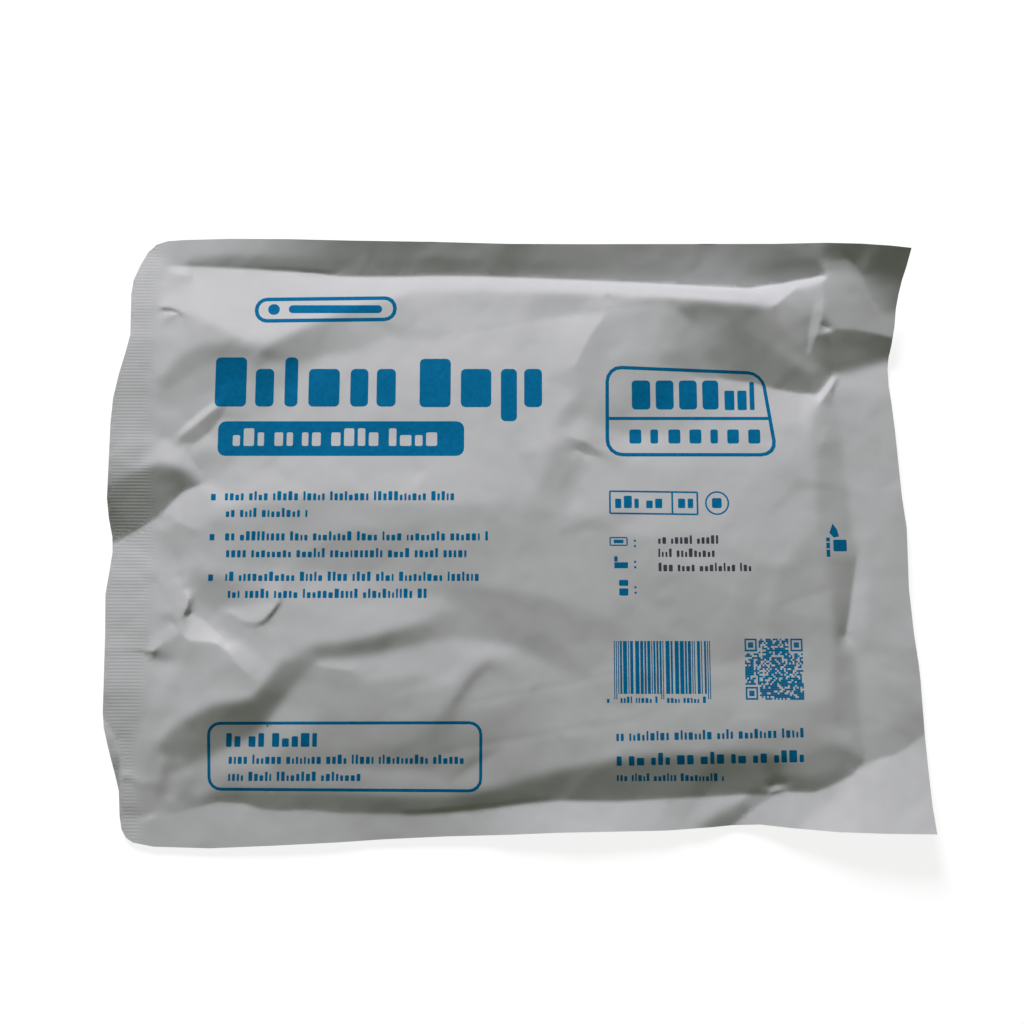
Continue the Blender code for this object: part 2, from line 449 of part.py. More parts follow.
def drop(tree, x, y, near_height):
    """Height of a surface at one place. Beside the surface, it is that of the nearest point."""
    hit = tree.ray_cast(Vector((x, y, RAY_START)), Vector((0, 0, -1)))[0]
    if hit is None:
        hit = tree.find_nearest(Vector((x, y, near_height)))[0]
    return hit.z


def smoothed(field, radius):
    """A Gaussian blur of a field on the sheet's cells, with its edge values held outside."""
    reach = int(math.ceil(3 * radius / CELL))
    weights = np.exp(-0.5 * (np.arange(-reach, reach + 1) * CELL / radius) ** 2)
    weights /= weights.sum()
    for axis in (0, 1):
        wide = np.pad(field, [(reach, reach) if k == axis else (0, 0) for k in (0, 1)], mode="edge")
        field = sum(
            w * np.take(wide, np.arange(k, k + field.shape[axis]), axis=axis) for k, w in enumerate(weights)
        )
    return field


def plan_grid():
    """The sheet's plan in drawn millimetres: a grid stretched between the four sides."""
    columns = int(round(DRAWN_WIDTH / CELL)) + 1
    rows = int(round(DRAWN_HEIGHT / CELL)) + 1
    u = np.linspace(0, 1, columns)[None, :, None]
    v = np.linspace(0, 1, rows)[:, None, None]
    bottom, top = along(BOTTOM_SIDE, u[0, :, 0])[None], along(TOP_SIDE, u[0, :, 0])[None]
    left, right = along(LEFT_SIDE, v[:, 0, 0])[:, None], along(RIGHT_SIDE, v[:, 0, 0])[:, None]
    ruled = (1 - v) * bottom + v * top + (1 - u) * left + u * right
    corners = (
        (1 - u) * (1 - v) * bottom[:, :1] + u * (1 - v) * bottom[:, -1:]
        + (1 - u) * v * top[:, :1] + u * v * top[:, -1:]
    )
    return ruled - corners


def draped(plan):
    """Front and back heights on the plan grid, crisp beside crisp folds and rounded elsewhere."""
    crisp = fold_points(SEAL_CRISP, True) + fold_points(POCKET_CRISP, False)
    rows = crisp + fold_points(SEAL_SOFT, True) + fold_points(POCKET_SOFT, False)
    near = KDTree(len(crisp))
    for index, row in enumerate(crisp):
        near.insert((row[0], row[1], 0), index)
    near.balance()
    front_tree, back_tree = terrain(rows, 2), terrain(rows, 3)
    shape = plan.shape[:2]
    front, back, mask = np.zeros(shape), np.zeros(shape), np.zeros(shape)
    for i, j in np.ndindex(shape):
        x, y = plan[i, j]
        front[i, j] = drop(front_tree, x, y, READ_HEIGHT)
        back[i, j] = drop(back_tree, x, y, READ_HEIGHT)
        mask[i, j] = math.exp(-((near.find((x, y, 0))[2] / CRISP_REACH) ** 2))
    front, back = (
        mask * smoothed(f, CRISP_RADIUS) + (1 - mask) * smoothed(f, SOFT_RADIUS) for f in (front, back)
    )
    return front, np.maximum(back, 0)


def sighted(plan, heights):
    """Places moved along their line of sight, from the height that they were read at to their own."""
    lean = math.radians(CAMERA_TILT)
    eye = np.array((CAMERA_AIM[0], CAMERA_AIM[1] - CAMERA_DISTANCE * math.sin(lean)))
    share = (heights - READ_HEIGHT) / (CAMERA_DISTANCE * math.cos(lean) - READ_HEIGHT)
    return plan + share[..., None] * (eye - plan)


def grid_sheet(name, plan, heights):
    """A grid mesh whose vertices are moved to the plan and to the heights."""
    rows, columns = heights.shape
    mesh = bpy.data.meshes.new(name)
    bm = bmesh.new()
    bmesh.ops.create_grid(bm, x_segments=columns - 1, y_segments=rows - 1, size=0.5)
    xs = built_place(plan[..., 0], X_DRAWN, X_BUILT)
    ys = built_place(plan[..., 1], Y_DRAWN, Y_BUILT)
    for vert in bm.verts:
        j = int(round((vert.co.x + 0.5) * (columns - 1)))
        i = int(round((vert.co.y + 0.5) * (rows - 1)))
        vert.co = (xs[i, j], ys[i, j], heights[i, j])
    bmesh.ops.recalc_face_normals(bm, faces=bm.faces[:])
    if sum(face.normal.z for face in bm.faces) < 0:
        bmesh.ops.reverse_faces(bm, faces=bm.faces[:])
    bm.to_mesh(mesh)
    bm.free()
    return mesh


def reduced(mesh, triangles):
    """A copy of a sheet brought down to about the given number of triangles."""
    holder = bpy.data.objects.new("sheet", mesh)
    bpy.context.scene.collection.objects.link(holder)
    holder.modifiers.new("triangles", "TRIANGULATE")
    decimate = holder.modifiers.new("reduce", "DECIMATE")
    decimate.ratio = triangles / (2 * len(mesh.polygons))
    bpy.context.view_layer.update()
    result = bpy.data.meshes.new_from_object(holder.evaluated_get(bpy.context.evaluated_depsgraph_get()))
    bpy.data.objects.remove(holder)
    return result


def pouch_mesh():
    """The closed pouch: the reduced front web, a copy of it as the back web, and the cut edge between."""
    read = plan_grid()
    front, back = draped(read)
    plan = sighted(read, front)
    front, back = front * CONTENTS_DEPTH / DRAWN_DEPTH, back * CONTENTS_DEPTH / DRAWN_DEPTH
    back_sheet = grid_sheet("back", plan, back)
    back_faces = [tuple(face.vertices) for face in back_sheet.polygons]
    back_tree = BVHTree.FromPolygons([vert.co * 1000 for vert in back_sheet.vertices], back_faces)
    bm = bmesh.new()
    bm.from_mesh(reduced(grid_sheet("front", plan, front), FRONT_TRIANGLES))
    extruded = bmesh.ops.extrude_face_region(bm, geom=bm.faces[:], use_keep_orig=True)
    lower = [item for item in extruded["geom"] if isinstance(item, bmesh.types.BMVert)]
    for vert in lower:
        x, y, front_height = vert.co * 1000
        height = drop(back_tree, x, y, front_height) / 1000
        vert.co.z = min(height, vert.co.z - 0.75 * SEAL_THICKNESS)
        if vert.co.z < FLAT_BELOW:
            vert.co.z = 0
    bmesh.ops.recalc_face_normals(bm, faces=bm.faces[:])
    low = [min(vert.co[k] for vert in bm.verts) for k in range(3)]
    high = [max(vert.co[k] for vert in bm.verts) for k in range(3)]
    bmesh.ops.translate(
        bm, verts=bm.verts[:], vec=(-(low[0] + high[0]) / 2, -(low[1] + high[1]) / 2, -low[2])
    )
    mesh = bpy.data.meshes.new(NAME)
    bm.to_mesh(mesh)
    bm.free()
    return mesh


def paper():
    """White sealed paper."""
    material = bpy.data.materials.new("paper")
    material.use_nodes = True
    shader = material.node_tree.nodes["Principled BSDF"]
    shader.inputs["Base Color"].default_value = (0.65, 0.65, 0.67, 1)
    shader.inputs["Roughness"].default_value = 0.6
    return material


def main():
    for old in list(bpy.data.objects):
        bpy.data.objects.remove(old)
    mesh = pouch_mesh()
    mesh.materials.append(paper())
    pouch = bpy.data.objects.new(NAME, mesh)
    collection = bpy.data.collections.new("sealed_drainage_bag_pouch")
    bpy.context.scene.collection.children.link(collection)
    collection.objects.link(pouch)


main()
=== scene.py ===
"""Looks of a sealed paper pouch with a folded drainage bag packed inside it.

The CAD node sealed_pouch is the pouch's plain solid. This script replaces it with the pouch's
two paper webs: a finely folded front web with its printed fields, and a plain back web. All
drawn sizes are millimetres on the pouch as it lies, seen from above, with x to the right and
y up from the middle of the nominal sheet. Heights are above the table.
"""

import logging
import math
from dataclasses import dataclass, field
from enum import Enum
from typing import Iterable, Sequence

import bpy
import numpy as np
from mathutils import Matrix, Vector
from mathutils.geometry import delaunay_2d_cdt
from mathutils.kdtree import KDTree

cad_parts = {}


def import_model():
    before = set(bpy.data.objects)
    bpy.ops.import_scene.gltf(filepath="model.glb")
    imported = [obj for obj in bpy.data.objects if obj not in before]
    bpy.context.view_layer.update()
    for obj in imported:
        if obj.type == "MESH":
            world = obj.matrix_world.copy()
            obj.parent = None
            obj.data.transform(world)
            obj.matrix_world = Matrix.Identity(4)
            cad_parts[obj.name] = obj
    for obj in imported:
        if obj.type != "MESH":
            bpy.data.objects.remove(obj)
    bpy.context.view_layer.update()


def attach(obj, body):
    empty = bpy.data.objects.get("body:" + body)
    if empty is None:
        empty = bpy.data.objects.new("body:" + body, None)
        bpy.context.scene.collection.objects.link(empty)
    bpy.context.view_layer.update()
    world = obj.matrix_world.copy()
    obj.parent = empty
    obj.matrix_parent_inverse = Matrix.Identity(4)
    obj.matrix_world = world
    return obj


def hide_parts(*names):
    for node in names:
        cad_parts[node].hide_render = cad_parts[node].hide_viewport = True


LOG = logging.getLogger("sealed_pouch")
MM = 0.001
MERGE = 1e-4
GREY_INK = (0.045, 0.06, 0.075)
GREY_INK_THIN = (0.075, 0.09, 0.105)

Point2 = tuple[float, float]
Point3 = tuple[float, float, float]
Colour = tuple[float, float, float]


class Edge(Enum):
    """How sharply the paper turns along a fold."""

    CRISP = "crisp"
    SOFT = "soft"


class Web(Enum):
    """Which webs follow a fold."""

    SEAL = "both webs, sealed together"
    POCKET = "the front web only, over the packed bag"


class Ink(Enum):
    """What a printed shape is printed with; the value is the material's place on the web."""

    NONE = 0
    BLUE = 1
    GREY = 2


@dataclass(frozen=True)
class Fold:
    """One line of the relief.

    Args:
        name: What the fold is.
        edge: Whether the paper keeps an edge along it.
        web: Which webs follow it.
        points: Places and heights along it, in millimetres.
    """

    name: str
    edge: Edge
    web: Web
    points: tuple[Point3, ...]


@dataclass(frozen=True)
class Loop:
    """One closed printed outline.

    Args:
        ink: The ink it is printed with.
        points: Corners in millimetres, anticlockwise.
        adds: 1 where it lays ink down, -1 where it leaves one layer of it out.
    """

    ink: Ink
    points: tuple[Point2, ...]
    adds: int = 1


def soft(name: str, *points: Point3, web: Web = Web.POCKET) -> Fold:
    """A fold that the paper goes round gently, through the given places and heights."""
    return Fold(name, Edge.SOFT, web, points)


def crisp(name: str, *points: Point3, web: Web = Web.POCKET) -> Fold:
    """A fold that keeps an edge, through the given places and heights."""
    return Fold(name, Edge.CRISP, web, points)


def stepped(line: Sequence[Sequence[float]], step: float) -> np.ndarray:
    """Points along a line that keep its corners and are at most a step apart.

    Args:
        line: The line's points.
        step: The longest distance between two points.

    Returns:
        One row for each point, the last one included.
    """
    points = np.array(line, float)
    pieces = []
    for start, end in zip(points[:-1], points[1:]):
        count = max(1, math.ceil(math.hypot(*(end - start)[:2]) / step))
        pieces.append(start + (end - start) * (np.arange(count) / count)[:, None])
    return np.vstack([*pieces, points[-1:]])


def blurred(values: np.ndarray, radius: float) -> np.ndarray:
    """A Gaussian blur that holds the edge values outside the raster.

    Args:
        values: The raster.
        radius: Standard deviation in cells.

    Returns:
        The blurred raster.
    """
    reach = int(math.ceil(3 * radius))
    weights = np.exp(-0.5 * (np.arange(-reach, reach + 1) / radius) ** 2)
    weights /= weights.sum()
    for axis in (0, 1):
        pads = [(reach, reach) if k == axis else (0, 0) for k in (0, 1)]
        wide = np.pad(values, pads, mode="edge")
        size = values.shape[axis]
        values = sum(w * np.take(wide, np.arange(k, k + size), axis=axis) for k, w in enumerate(weights))
    return values


class Outline:
    """The pouch's four sides as they lie, in drawn millimetres."""

    LEFT: tuple[Point2, ...] = (
        (-126.8, -99.8), (-128.4, -97.2), (-129.2, -93), (-129.8, -85), (-131.2, -80), (-132.8, -75),
        (-134.4, -69.5), (-135.6, -65), (-136.1, -60), (-136.5, -35), (-137, -22), (-136, -14),
        (-135.3, -8), (-135.6, -3), (-137, 3), (-138, 10), (-138, 35), (-137.5, 44), (-136, 52),
        (-134, 60), (-132.7, 66), (-133, 80), (-132.4, 85), (-130.2, 90.5), (-127.8, 94.8),
    )
    RIGHT: tuple[Point2, ...] = (
        (131.3, -98.7), (130.2, -90), (129.5, -80), (128.8, -68), (128.2, -50), (127.9, -45),
        (126.8, -35), (125.8, -20), (126, 0), (124.9, 10), (124.3, 20), (123.6, 32), (122.8, 42),
        (122.1, 48), (122, 54), (122.5, 58), (123.6, 62), (125, 69), (125.7, 75), (126.8, 80),
        (128.2, 85), (130, 90), (132, 96.5),
    )
    BOTTOM: tuple[Point2, ...] = (
        (-126.8, -99.8), (-124.6, -101.2), (-118, -102.5), (-100, -103), (-80, -102.2), (-60, -101.2),
        (-45, -100.2), (-25, -99.3), (-5, -98.8), (10, -98.2), (30, -97.8), (45, -97.5), (60, -96.4),
        (66, -95.8), (75, -95.6), (85, -96.7), (100, -98), (115, -98.5), (131.3, -98.7),
    )
    TOP: tuple[Point2, ...] = (
        (-127.8, 94.8), (-125, 97.5), (-121, 98.9), (-115, 99.3), (-100, 99.7), (-80, 99.6),
        (-60, 99.1), (-30, 98.6), (-5, 97.9), (20, 97.8), (85, 97.9), (103, 98.3), (115, 98),
        (125, 97.3), (132, 96.5),
    )

    def __init__(self, step: float) -> None:
        """Joins the sides to one loop.

        Args:
            step: The longest distance between two of the loop's points.
        """
        sides = (self.BOTTOM, self.RIGHT, self.TOP[::-1], self.LEFT[::-1])
        self.loop = np.vstack([stepped(side, step)[:-1] for side in sides])

    def inside(self, x: np.ndarray, y: np.ndarray, margin: float) -> np.ndarray:
        """Which places lie inside the outline by more than a margin.

        Args:
            x: Places' x.
            y: Places' y.
            margin: Distance to keep from each side.

        Returns:
            A mask.
        """
        left, right = (np.interp(y, *np.array(side).T[::-1]) for side in (self.LEFT, self.RIGHT))
        bottom, top = (np.interp(x, *np.array(side).T) for side in (self.BOTTOM, self.TOP))
        across = (x > left + margin) & (x < right - margin)
        upright = (y > bottom + margin) & (y < top - margin)
        return across & upright


# The folds, each drawn as (x, y, height).
FOLDS: tuple[Fold, ...] = (
    soft(
        "top_edge", (-142, 99, 5), (-134, 103, 4), (-125, 104, 3.8), (-110, 104, 4.6), (-100, 104, 5.4),
        (-88, 104, 7), (-75, 103.5, 9), (-62, 103.5, 10.2), (-45, 103, 10.2), (-30, 103, 10),
        (-18, 102.5, 9.8), (-9, 102.5, 10.2), (0, 102.5, 10), (12, 102, 9.7), (30, 102, 9.7),
        (60, 102, 10.4), (78, 102, 11.2), (92, 102.5, 13), (103, 103, 16.4), (112, 103, 18.8),
        (124, 102, 21.8), (137, 101, 23.4), web=Web.SEAL,
    ),
    soft(
        "flange_mid", (-112, 93.4, 4.3), (-100, 93.8, 4.9), (-90, 93.8, 5.3), (-75, 93.2, 5.7),
        (-60, 92.5, 6), (-30, 92.5, 5.9), (-8, 92.5, 6), (10, 92, 5.9), (40, 91, 5.9), (62, 90, 5.9),
        (80, 90.5, 6.6), (93, 92, 8.8), (101, 93, 12), web=Web.SEAL,
    ),
    soft(
        "left_edge", (-142, 99, 5), (-142, 88, 7.2), (-142, 76, 9), (-142, 60, 11), (-142, 45, 11.8),
        (-142, 30, 12.2), (-142, 20, 12.2), (-142, 12, 11.4), (-142, 5, 7.4), (-142, -2, 3.6),
        (-142, -6, 2.6), (-142, -14, 3.2), (-142, -24, 3.8), (-142, -38, 4.4), (-142, -50, 4.8),
        (-142, -57, 5), (-141, -63, 7.4), (-139, -70, 9), (-137, -78, 8), (-135, -88, 4.6),
        (-133, -98, 1.8), (-130, -106, 1), web=Web.SEAL,
    ),
    soft(
        "bottom_edge", (-130, -106, 1), (-120, -107, 1), (-100, -107, 1.6), (-80, -106, 2.2),
        (-60, -105, 1.8), (-45, -104.5, 1.2), (-30, -103.5, 1.4), (-15, -103, 2.4), (0, -103, 4.6),
        (15, -102, 6.6), (30, -102, 6.2), (45, -102, 5.2), (54, -101, 3.2), (61.5, -100.5, 0.8),
        (70, -100, 1.8), (80, -100, 4.2), (92, -101, 8), (105, -102, 10.6), (120, -103, 12),
        (137, -103, 12.8), web=Web.SEAL,
    ),
    soft(
        "right_edge", (137, 101, 23.6), (136, 92, 18.4), (133, 83, 12.2), (131, 75, 7.6), (130, 66, 6),
        (130, 61, 4.2), (129, 57, 2.8), (128, 52, 2.8), (127, 46, 3.4), (128, 38, 3.6), (129, 20, 4),
        (131, 0, 3.8), (131, -20, 3.4), (132, -36, 4.2), (133, -50, 4.4), (134, -60, 3.6),
        (134, -66, 2.8), (134, -74, 4), (135, -90, 7.8), (137, -103, 12.4), web=Web.SEAL,
    ),
    crisp(
        "top_crease", (-121, 90, 4.2), (-112, 89.8, 3.2), (-100, 89.2, 3), (-85, 88.4, 3),
        (-70, 87.6, 3), (-62, 86.3, 3), (-45, 86.1, 3), (-30, 86.5, 3), (-15, 86.3, 3), (0, 85.7, 3),
        (20, 84.8, 3), (40, 83.8, 3), (60, 82.6, 3), (76, 81.8, 3), (88, 84, 3.6), (93, 85, 4.6),
        (97, 85.7, 5.8), (101, 86.5, 8.4), web=Web.SEAL,
    ),
    soft(
        "left_crease", (-121, 90, 4.2), (-123.5, 76, 6.6), (-124.5, 66, 7.8), (-124.5, 55, 7.8),
        (-123.5, 44, 7.4), (-122.5, 32, 7.6), (-122, 21.5, 9.6), web=Web.SEAL,
    ),
    soft(
        "left_crease_low", (-120, 1.5, 3.2), (-120, -6, 3.2), (-119.5, -13, 3.8), (-120.5, -26, 4.6),
        (-121.5, -34, 4.6), (-123.5, -41, 4), (-122.5, -50, 4.6), (-123, -60, 4.4), (-124.8, -72, 3.2),
        (-125.5, -82, 2.2), (-121.5, -93.7, 1.8), web=Web.SEAL,
    ),
    crisp(
        "bottom_crease", (-119.5, -93.7, 1.8), (-115, -92.4, 1.8), (-110, -91.6, 1.8), (-104, -90, 1.9),
        (-98, -88.6, 2), (-90, -89, 2), (-84, -90.8, 2.1), (-78, -91.4, 2.2), (-70, -91, 2.4),
        (-60, -92, 2.6), (-45, -92.2, 2.6), (-35, -92.5, 2.6), (-20, -91.3, 2.7), (-10, -90.3, 2.6),
        (0, -89, 2.6), (10, -88.2, 2.6), (30, -88.4, 2.6), (45, -87.6, 2.6), (60, -86.8, 2.6),
        (70, -86.2, 2.6), (77, -86.2, 2.6), (83, -85.4, 2.8), (92, -85.6, 3), (97, -84, 3),
        (101, -82, 3), (105, -80, 3), (107.3, -77.5, 3), (109, -75.5, 3.2), web=Web.SEAL,
    ),
    soft(
        "right_crease", (109, -75.5, 3.2), (108.6, -70, 3.6), (108.2, -60, 3.6), (107.8, -50, 3.6),
        (107, -40, 3.4), (104.8, -36.6, 3), web=Web.SEAL,
    ),
    crisp("block_foot", (104.3, -35.5, 3.2), (105.8, -29, 3), (107.6, -19, 3), (109.2, -10, 3.4)),
    soft(
        "right_crease_top", (109.2, -8, 3.4), (108, 0, 3.4), (107, 10, 3.4), (106, 22, 3.5),
        (105, 36, 3.6), (104.5, 46, 3.4), web=Web.SEAL,
    ),
    soft(
        "top_shoulder", (-112, 84, 4.8), (-100, 84, 4.7), (-80, 83, 5), (-60, 82, 5.6), (-45, 81.3, 6),
        (-30, 81.3, 6.1), (-15, 81.8, 6.2), (0, 81.6, 6.6), (20, 81.3, 8), (36, 80.6, 9.4),
    ),
    soft(
        "right_shoulder", (95, 33, 7.2), (97, 24, 7.6), (96.5, 12, 8.2), (97, 0, 8.6), (99, -12, 8.2),
        (100.5, -25, 7.8), (101, -35, 7.4), (100.5, -48, 7.4), (100, -60, 7.6), (99, -65, 7.6),
    ),
    soft(
        "bottom_shoulder", (-116, -88, 2.2), (-108, -86.4, 2.8), (-97, -84.4, 4.2), (-85, -84.4, 5),
        (-70, -85, 5.4), (-60, -85.4, 5.7), (-45, -86.4, 5.8), (-30, -86.6, 5.8), (-15, -85.6, 6),
        (-5, -82.8, 6.4), (5, -80, 7.2), (15, -77.6, 7.9), (24, -76, 8.5), (40, -74, 9.1),
        (60, -73, 9.3), (72, -72.5, 9.2), (80, -73.6, 8.6), (86, -74.6, 7.9), (92, -72.4, 7.8),
        (99, -69.8, 7.5), (103, -70.6, 6.6), (106.5, -73, 5), (109, -75.5, 3.2),
    ),
    soft(
        "bottom_low", (75.6, -82.4, 4.8), (80.6, -80.6, 4.7), (86, -80.5, 5.8), (92, -81, 5.5),
        (98, -79, 5), (103, -76.5, 4.6),
    ),
    soft(
        "plateau_crest", (-119, 73, 8.2), (-112, 73, 9), (-107, 70.6, 9.9), (-100, 66.6, 10.9),
        (-92, 63.2, 11.6), (-87, 61.4, 11.9), (-80, 65.8, 11.2), (-70, 70.4, 10.3), (-60, 74.4, 9.1),
        (-50, 77.8, 7.9), (-42, 79.8, 7.1),
    ),
    soft(
        "arc_top", (-121.5, 51.8, 8.9), (-118, 56.5, 9.2), (-113, 60.8, 9.6), (-106, 63.4, 10.3),
        (-98, 62.8, 10.9), (-92.5, 61.2, 11.3),
    ),
    soft(
        "arc_foot", (-121, 47, 7.7), (-118, 47.6, 7.5), (-113, 51.6, 7.9), (-107, 55.6, 8.5),
        (-100, 57.8, 9.1), (-93.5, 58.2, 9.9),
    ),
    soft(
        "crest_foot", (-85, 57, 9.7), (-78, 56, 9), (-68, 58, 8.6), (-55, 61, 8.2), (-42, 67, 7.4),
        (-30, 73, 7), (-18, 77, 6.6),
    ),
    soft("swell_hollow", (-82, 48, 9.2), (-83, 42, 9.2), (-85, 37, 9.6)),
    soft("left_mid", (-118, 42, 7.1), (-108, 45, 7.4), (-98, 50, 8.5)),
    crisp("streak", (-114.6, 30.6, 7.6), (-110.5, 34.2, 8.2), (-105.5, 38.6, 8.6), (-101, 42, 8.8)),
    crisp(
        "streak_top", (-115.6, 32.4, 7.2), (-111.6, 36, 7.1), (-106.8, 40.4, 7.3), (-102.4, 43.6, 7.9),
    ),
    crisp(
        "streak_foot", (-113.6, 28.6, 6.9), (-109.5, 28.4, 6.7), (-105, 32, 6.8), (-101.6, 36.5, 7.4),
        (-100, 40, 8.2),
    ),
    soft("light_patch", (-121, 30, 7.2), (-116, 27.5, 7.2), (-113.4, 25.4, 7.2)),
    soft("curl_crest", (-121.5, 21.6, 9.7), (-117, 21.2, 9.3), (-112, 19.2, 8.2), (-107.4, 14.8, 6.5)),
    crisp("curl_foot", (-118.8, 5.4, 3.4), (-116, 9, 4.1), (-113, 12, 4.8), (-107.2, 14.6, 6.4)),
    soft(
        "facet_top", (-111.5, -3.5, 6.9), (-106.5, -2.5, 9), (-103, 2, 10.3), (-103, 7, 9.9),
        (-104.6, 12, 8.4),
    ),
    soft("swell_low", (-98, 24, 8.8), (-88, 24.5, 10), (-72, 26, 11.5), (-55, 27, 12.6)),
    soft("swell_top", (-97, 7, 11.2), (-88, 8, 12.4), (-74, 10, 13.8), (-58, 12, 14.6)),
    soft(
        "text_flat", (-100, -12, 10), (-85, -12, 11.5), (-65, -15, 12.2), (-48, -15, 12.9),
        (-38, -15, 13.2),
    ),
    soft("soft_streak", (-117.5, -4.5, 4.4), (-114.5, -10, 4.8), (-112.5, -15, 5.6)),
    soft("crescent_top", (-120, -15, 4.2), (-117, -14, 4.6), (-114.5, -14.5, 5.4)),
    crisp(
        "crescent_ridge", (-119.2, -18, 4.6), (-117.2, -22, 5.4), (-115.4, -26, 6.4),
        (-114.4, -29.6, 7.2),
    ),
    soft(
        "pocket_rim", (-112.4, -14.5, 6.6), (-109, -14.5, 8), (-104, -15, 9.6), (-98, -16.5, 10.3),
        (-92, -18.5, 10.8), (-86, -20, 11.2),
    ),
    soft(
        "pocket_floor", (-109.2, -28, 7.4), (-108, -24, 7.2), (-107.4, -20.6, 7.6), (-104, -25.4, 7.6),
        (-101, -29, 8), (-98, -33, 8.8), (-95, -37, 9.8),
    ),
    crisp(
        "bright_ridge", (-114.8, -31, 6.2), (-112.4, -34.6, 8.4), (-108.6, -37.2, 10),
        (-103, -37.4, 10.8), (-99.4, -38, 11.4), (-96.6, -40.4, 12), (-93.6, -44.4, 12.6),
        (-90, -47.6, 12.9), (-87.2, -50.6, 13),
    ),
    soft("ridge_below", (-116, -42, 6), (-110, -45, 8.4), (-104, -46, 10.4), (-103, -53, 10.8)),
    crisp(
        "lens", (-95.8, -28.2, 9.8), (-92, -30.6, 10.9), (-88, -31.2, 11.9), (-85.4, -30.6, 12.6),
        (-82.8, -27.8, 12.9), (-80.6, -24.8, 12.8),
    ),
    soft("lens_top", (-94, -26, 9.6), (-89, -25.5, 10.4), (-84.5, -24.5, 11.5)),
    crisp(
        "lens_foot", (-92, -32.4, 10.7), (-87.6, -33, 11.6), (-84.4, -31.8, 11.8), (-81.6, -28.4, 11.7),
        (-79.4, -25, 11.9),
    ),
    soft("olive", (-94.4, -35, 10), (-91, -38.6, 11), (-86, -42, 11.8), (-82.6, -45, 12.7)),
    soft("right_of_lens", (-76, -32, 12.5), (-66, -30, 13.1), (-55, -27, 13.1)),
    soft(
        "bump_top", (-99.5, -49.5, 11.4), (-95.5, -53.4, 12.2), (-91.5, -54.6, 12.6),
        (-88, -53.6, 12.9), (-86.8, -51.4, 13),
    ),
    soft("bump_mid", (-97, -44, 12), (-93, -49, 12.4)),
    crisp("tip", (-123.5, -40.2, 4.4), (-120.6, -40.6, 6), (-117.8, -38, 6.2)),
    soft("tip_foot", (-122, -42.6, 3.9), (-118, -43.6, 4.4), (-114.5, -43.5, 5.6)),
    soft(
        "light_streak", (-112.6, -45, 7.6), (-115.5, -53, 6.8), (-118.6, -61, 5.6), (-121.6, -69, 4.2),
        (-123, -77, 3.2), (-122.6, -86, 2.6),
    ),
    crisp(
        "wedge", (-139, -60, 4.2), (-135, -63.6, 3.8), (-132, -68, 3.1), (-130, -74, 2.5),
        (-129.6, -82, 1.9), (-129.6, -90, 1.5), web=Web.SEAL,
    ),
    soft(
        "scarp_top", (-69.3, -44.2, 12.2), (-75, -42.4, 12.9), (-79.5, -43.8, 13.2), (-82.5, -48, 13.4),
        (-85.3, -52.3, 13.4), (-89, -55.4, 13.2), (-94.5, -56.6, 12.8), (-101, -57.8, 11.7),
        (-108, -61.5, 9.9), (-114, -65, 7.8), (-117.5, -69.5, 6), (-119.5, -75, 4.2), (-120, -83, 2.6),
    ),
    soft(
        "scarp_foot", (-69, -45, 12), (-73, -50, 10.6), (-77, -55, 9.6), (-80.5, -60, 8.8),
        (-85, -66, 7.6), (-92, -70, 6.2), (-100, -73.6, 4.9), (-107, -76.6, 3.9), (-113.5, -80, 2.9),
    ),
    crisp("spark", (-69, -44.6, 11.9), (-64, -45.8, 12.4), (-56, -46.8, 12.5)),
    soft("lobe", (-110, -74, 4.9), (-109.5, -80, 4.1), (-109, -86, 3), (-108.4, -89.4, 2.2)),
    soft(
        "second_crest", (-69.4, -38.6, 13.5), (-60, -37.6, 14), (-48, -35, 14.2), (-36, -31.8, 13.8),
        (-28, -28, 12.9),
    ),
    soft(
        "second_foot", (-66, -42.8, 12), (-58, -42.8, 11.9), (-46, -41, 11.7), (-35, -38.6, 11.8),
        (-27, -36.4, 11.5),
    ),
    soft(
        "low_left", (-72, -64, 9.7), (-55, -63, 10.7), (-38, -63, 11.3), (-76, -70, 8.6),
        (-58, -71, 9.1), (-38, -71, 9.7),
    ),
    soft(
        "olive_crest", (-30, -15, 13.5), (-22, -17, 13.7), (-10, -20, 13.6), (4, -22, 13.4),
        (16, -25, 12.8), (27, -30, 12),
    ),
    soft(
        "olive_foot", (-24, -36, 11.4), (-15, -37, 10.8), (-6, -38.5, 10.2), (4, -42.5, 9.8),
        (12, -47, 9.6), (22, -49, 9.9),
    ),
    soft(
        "arch", (-27, -61, 12.1), (-21.5, -53.5, 12.6), (-16.5, -46.8, 12.3), (-12, -43, 11.7),
        (-6.5, -43.8, 11.1), (-2, -49, 10.5), (1, -57, 9.8),
    ),
    soft(
        "arch_hollow", (-22.5, -60.5, 11.2), (-19.5, -54.5, 11.3), (-15.2, -48.6, 11.1),
        (-11.5, -47, 10.8), (-8, -51, 10.5), (-7, -60, 9.8), (-8, -70, 8.5),
    ),
    soft(
        "mid_low", (10, -56, 9), (25, -56, 9.5), (40, -58, 10), (60, -58, 10.2), (78, -60, 10.1),
        (92, -58, 9.4), (99, -56, 8.2),
    ),
    soft("mid_right", (30, -38, 10.6), (45, -41, 10.5), (62, -44, 10.3), (80, -44, 9.8)),
    soft("mid_right_top", (45, -14, 12.9), (65, -14, 12.5), (85, -12, 11.4)),
    soft("upper_centre", (-50, 50, 9.8), (-30, 50, 10.2), (-8, 52, 10.2), (8, 50, 10.6)),
    soft("upper_centre_2", (-45, 30, 12), (-25, 30, 12.4), (-5, 30, 12.8)),
    soft("centre", (-40, 8, 15.2), (-20, 8, 15.4), (-8, 8, 15)),
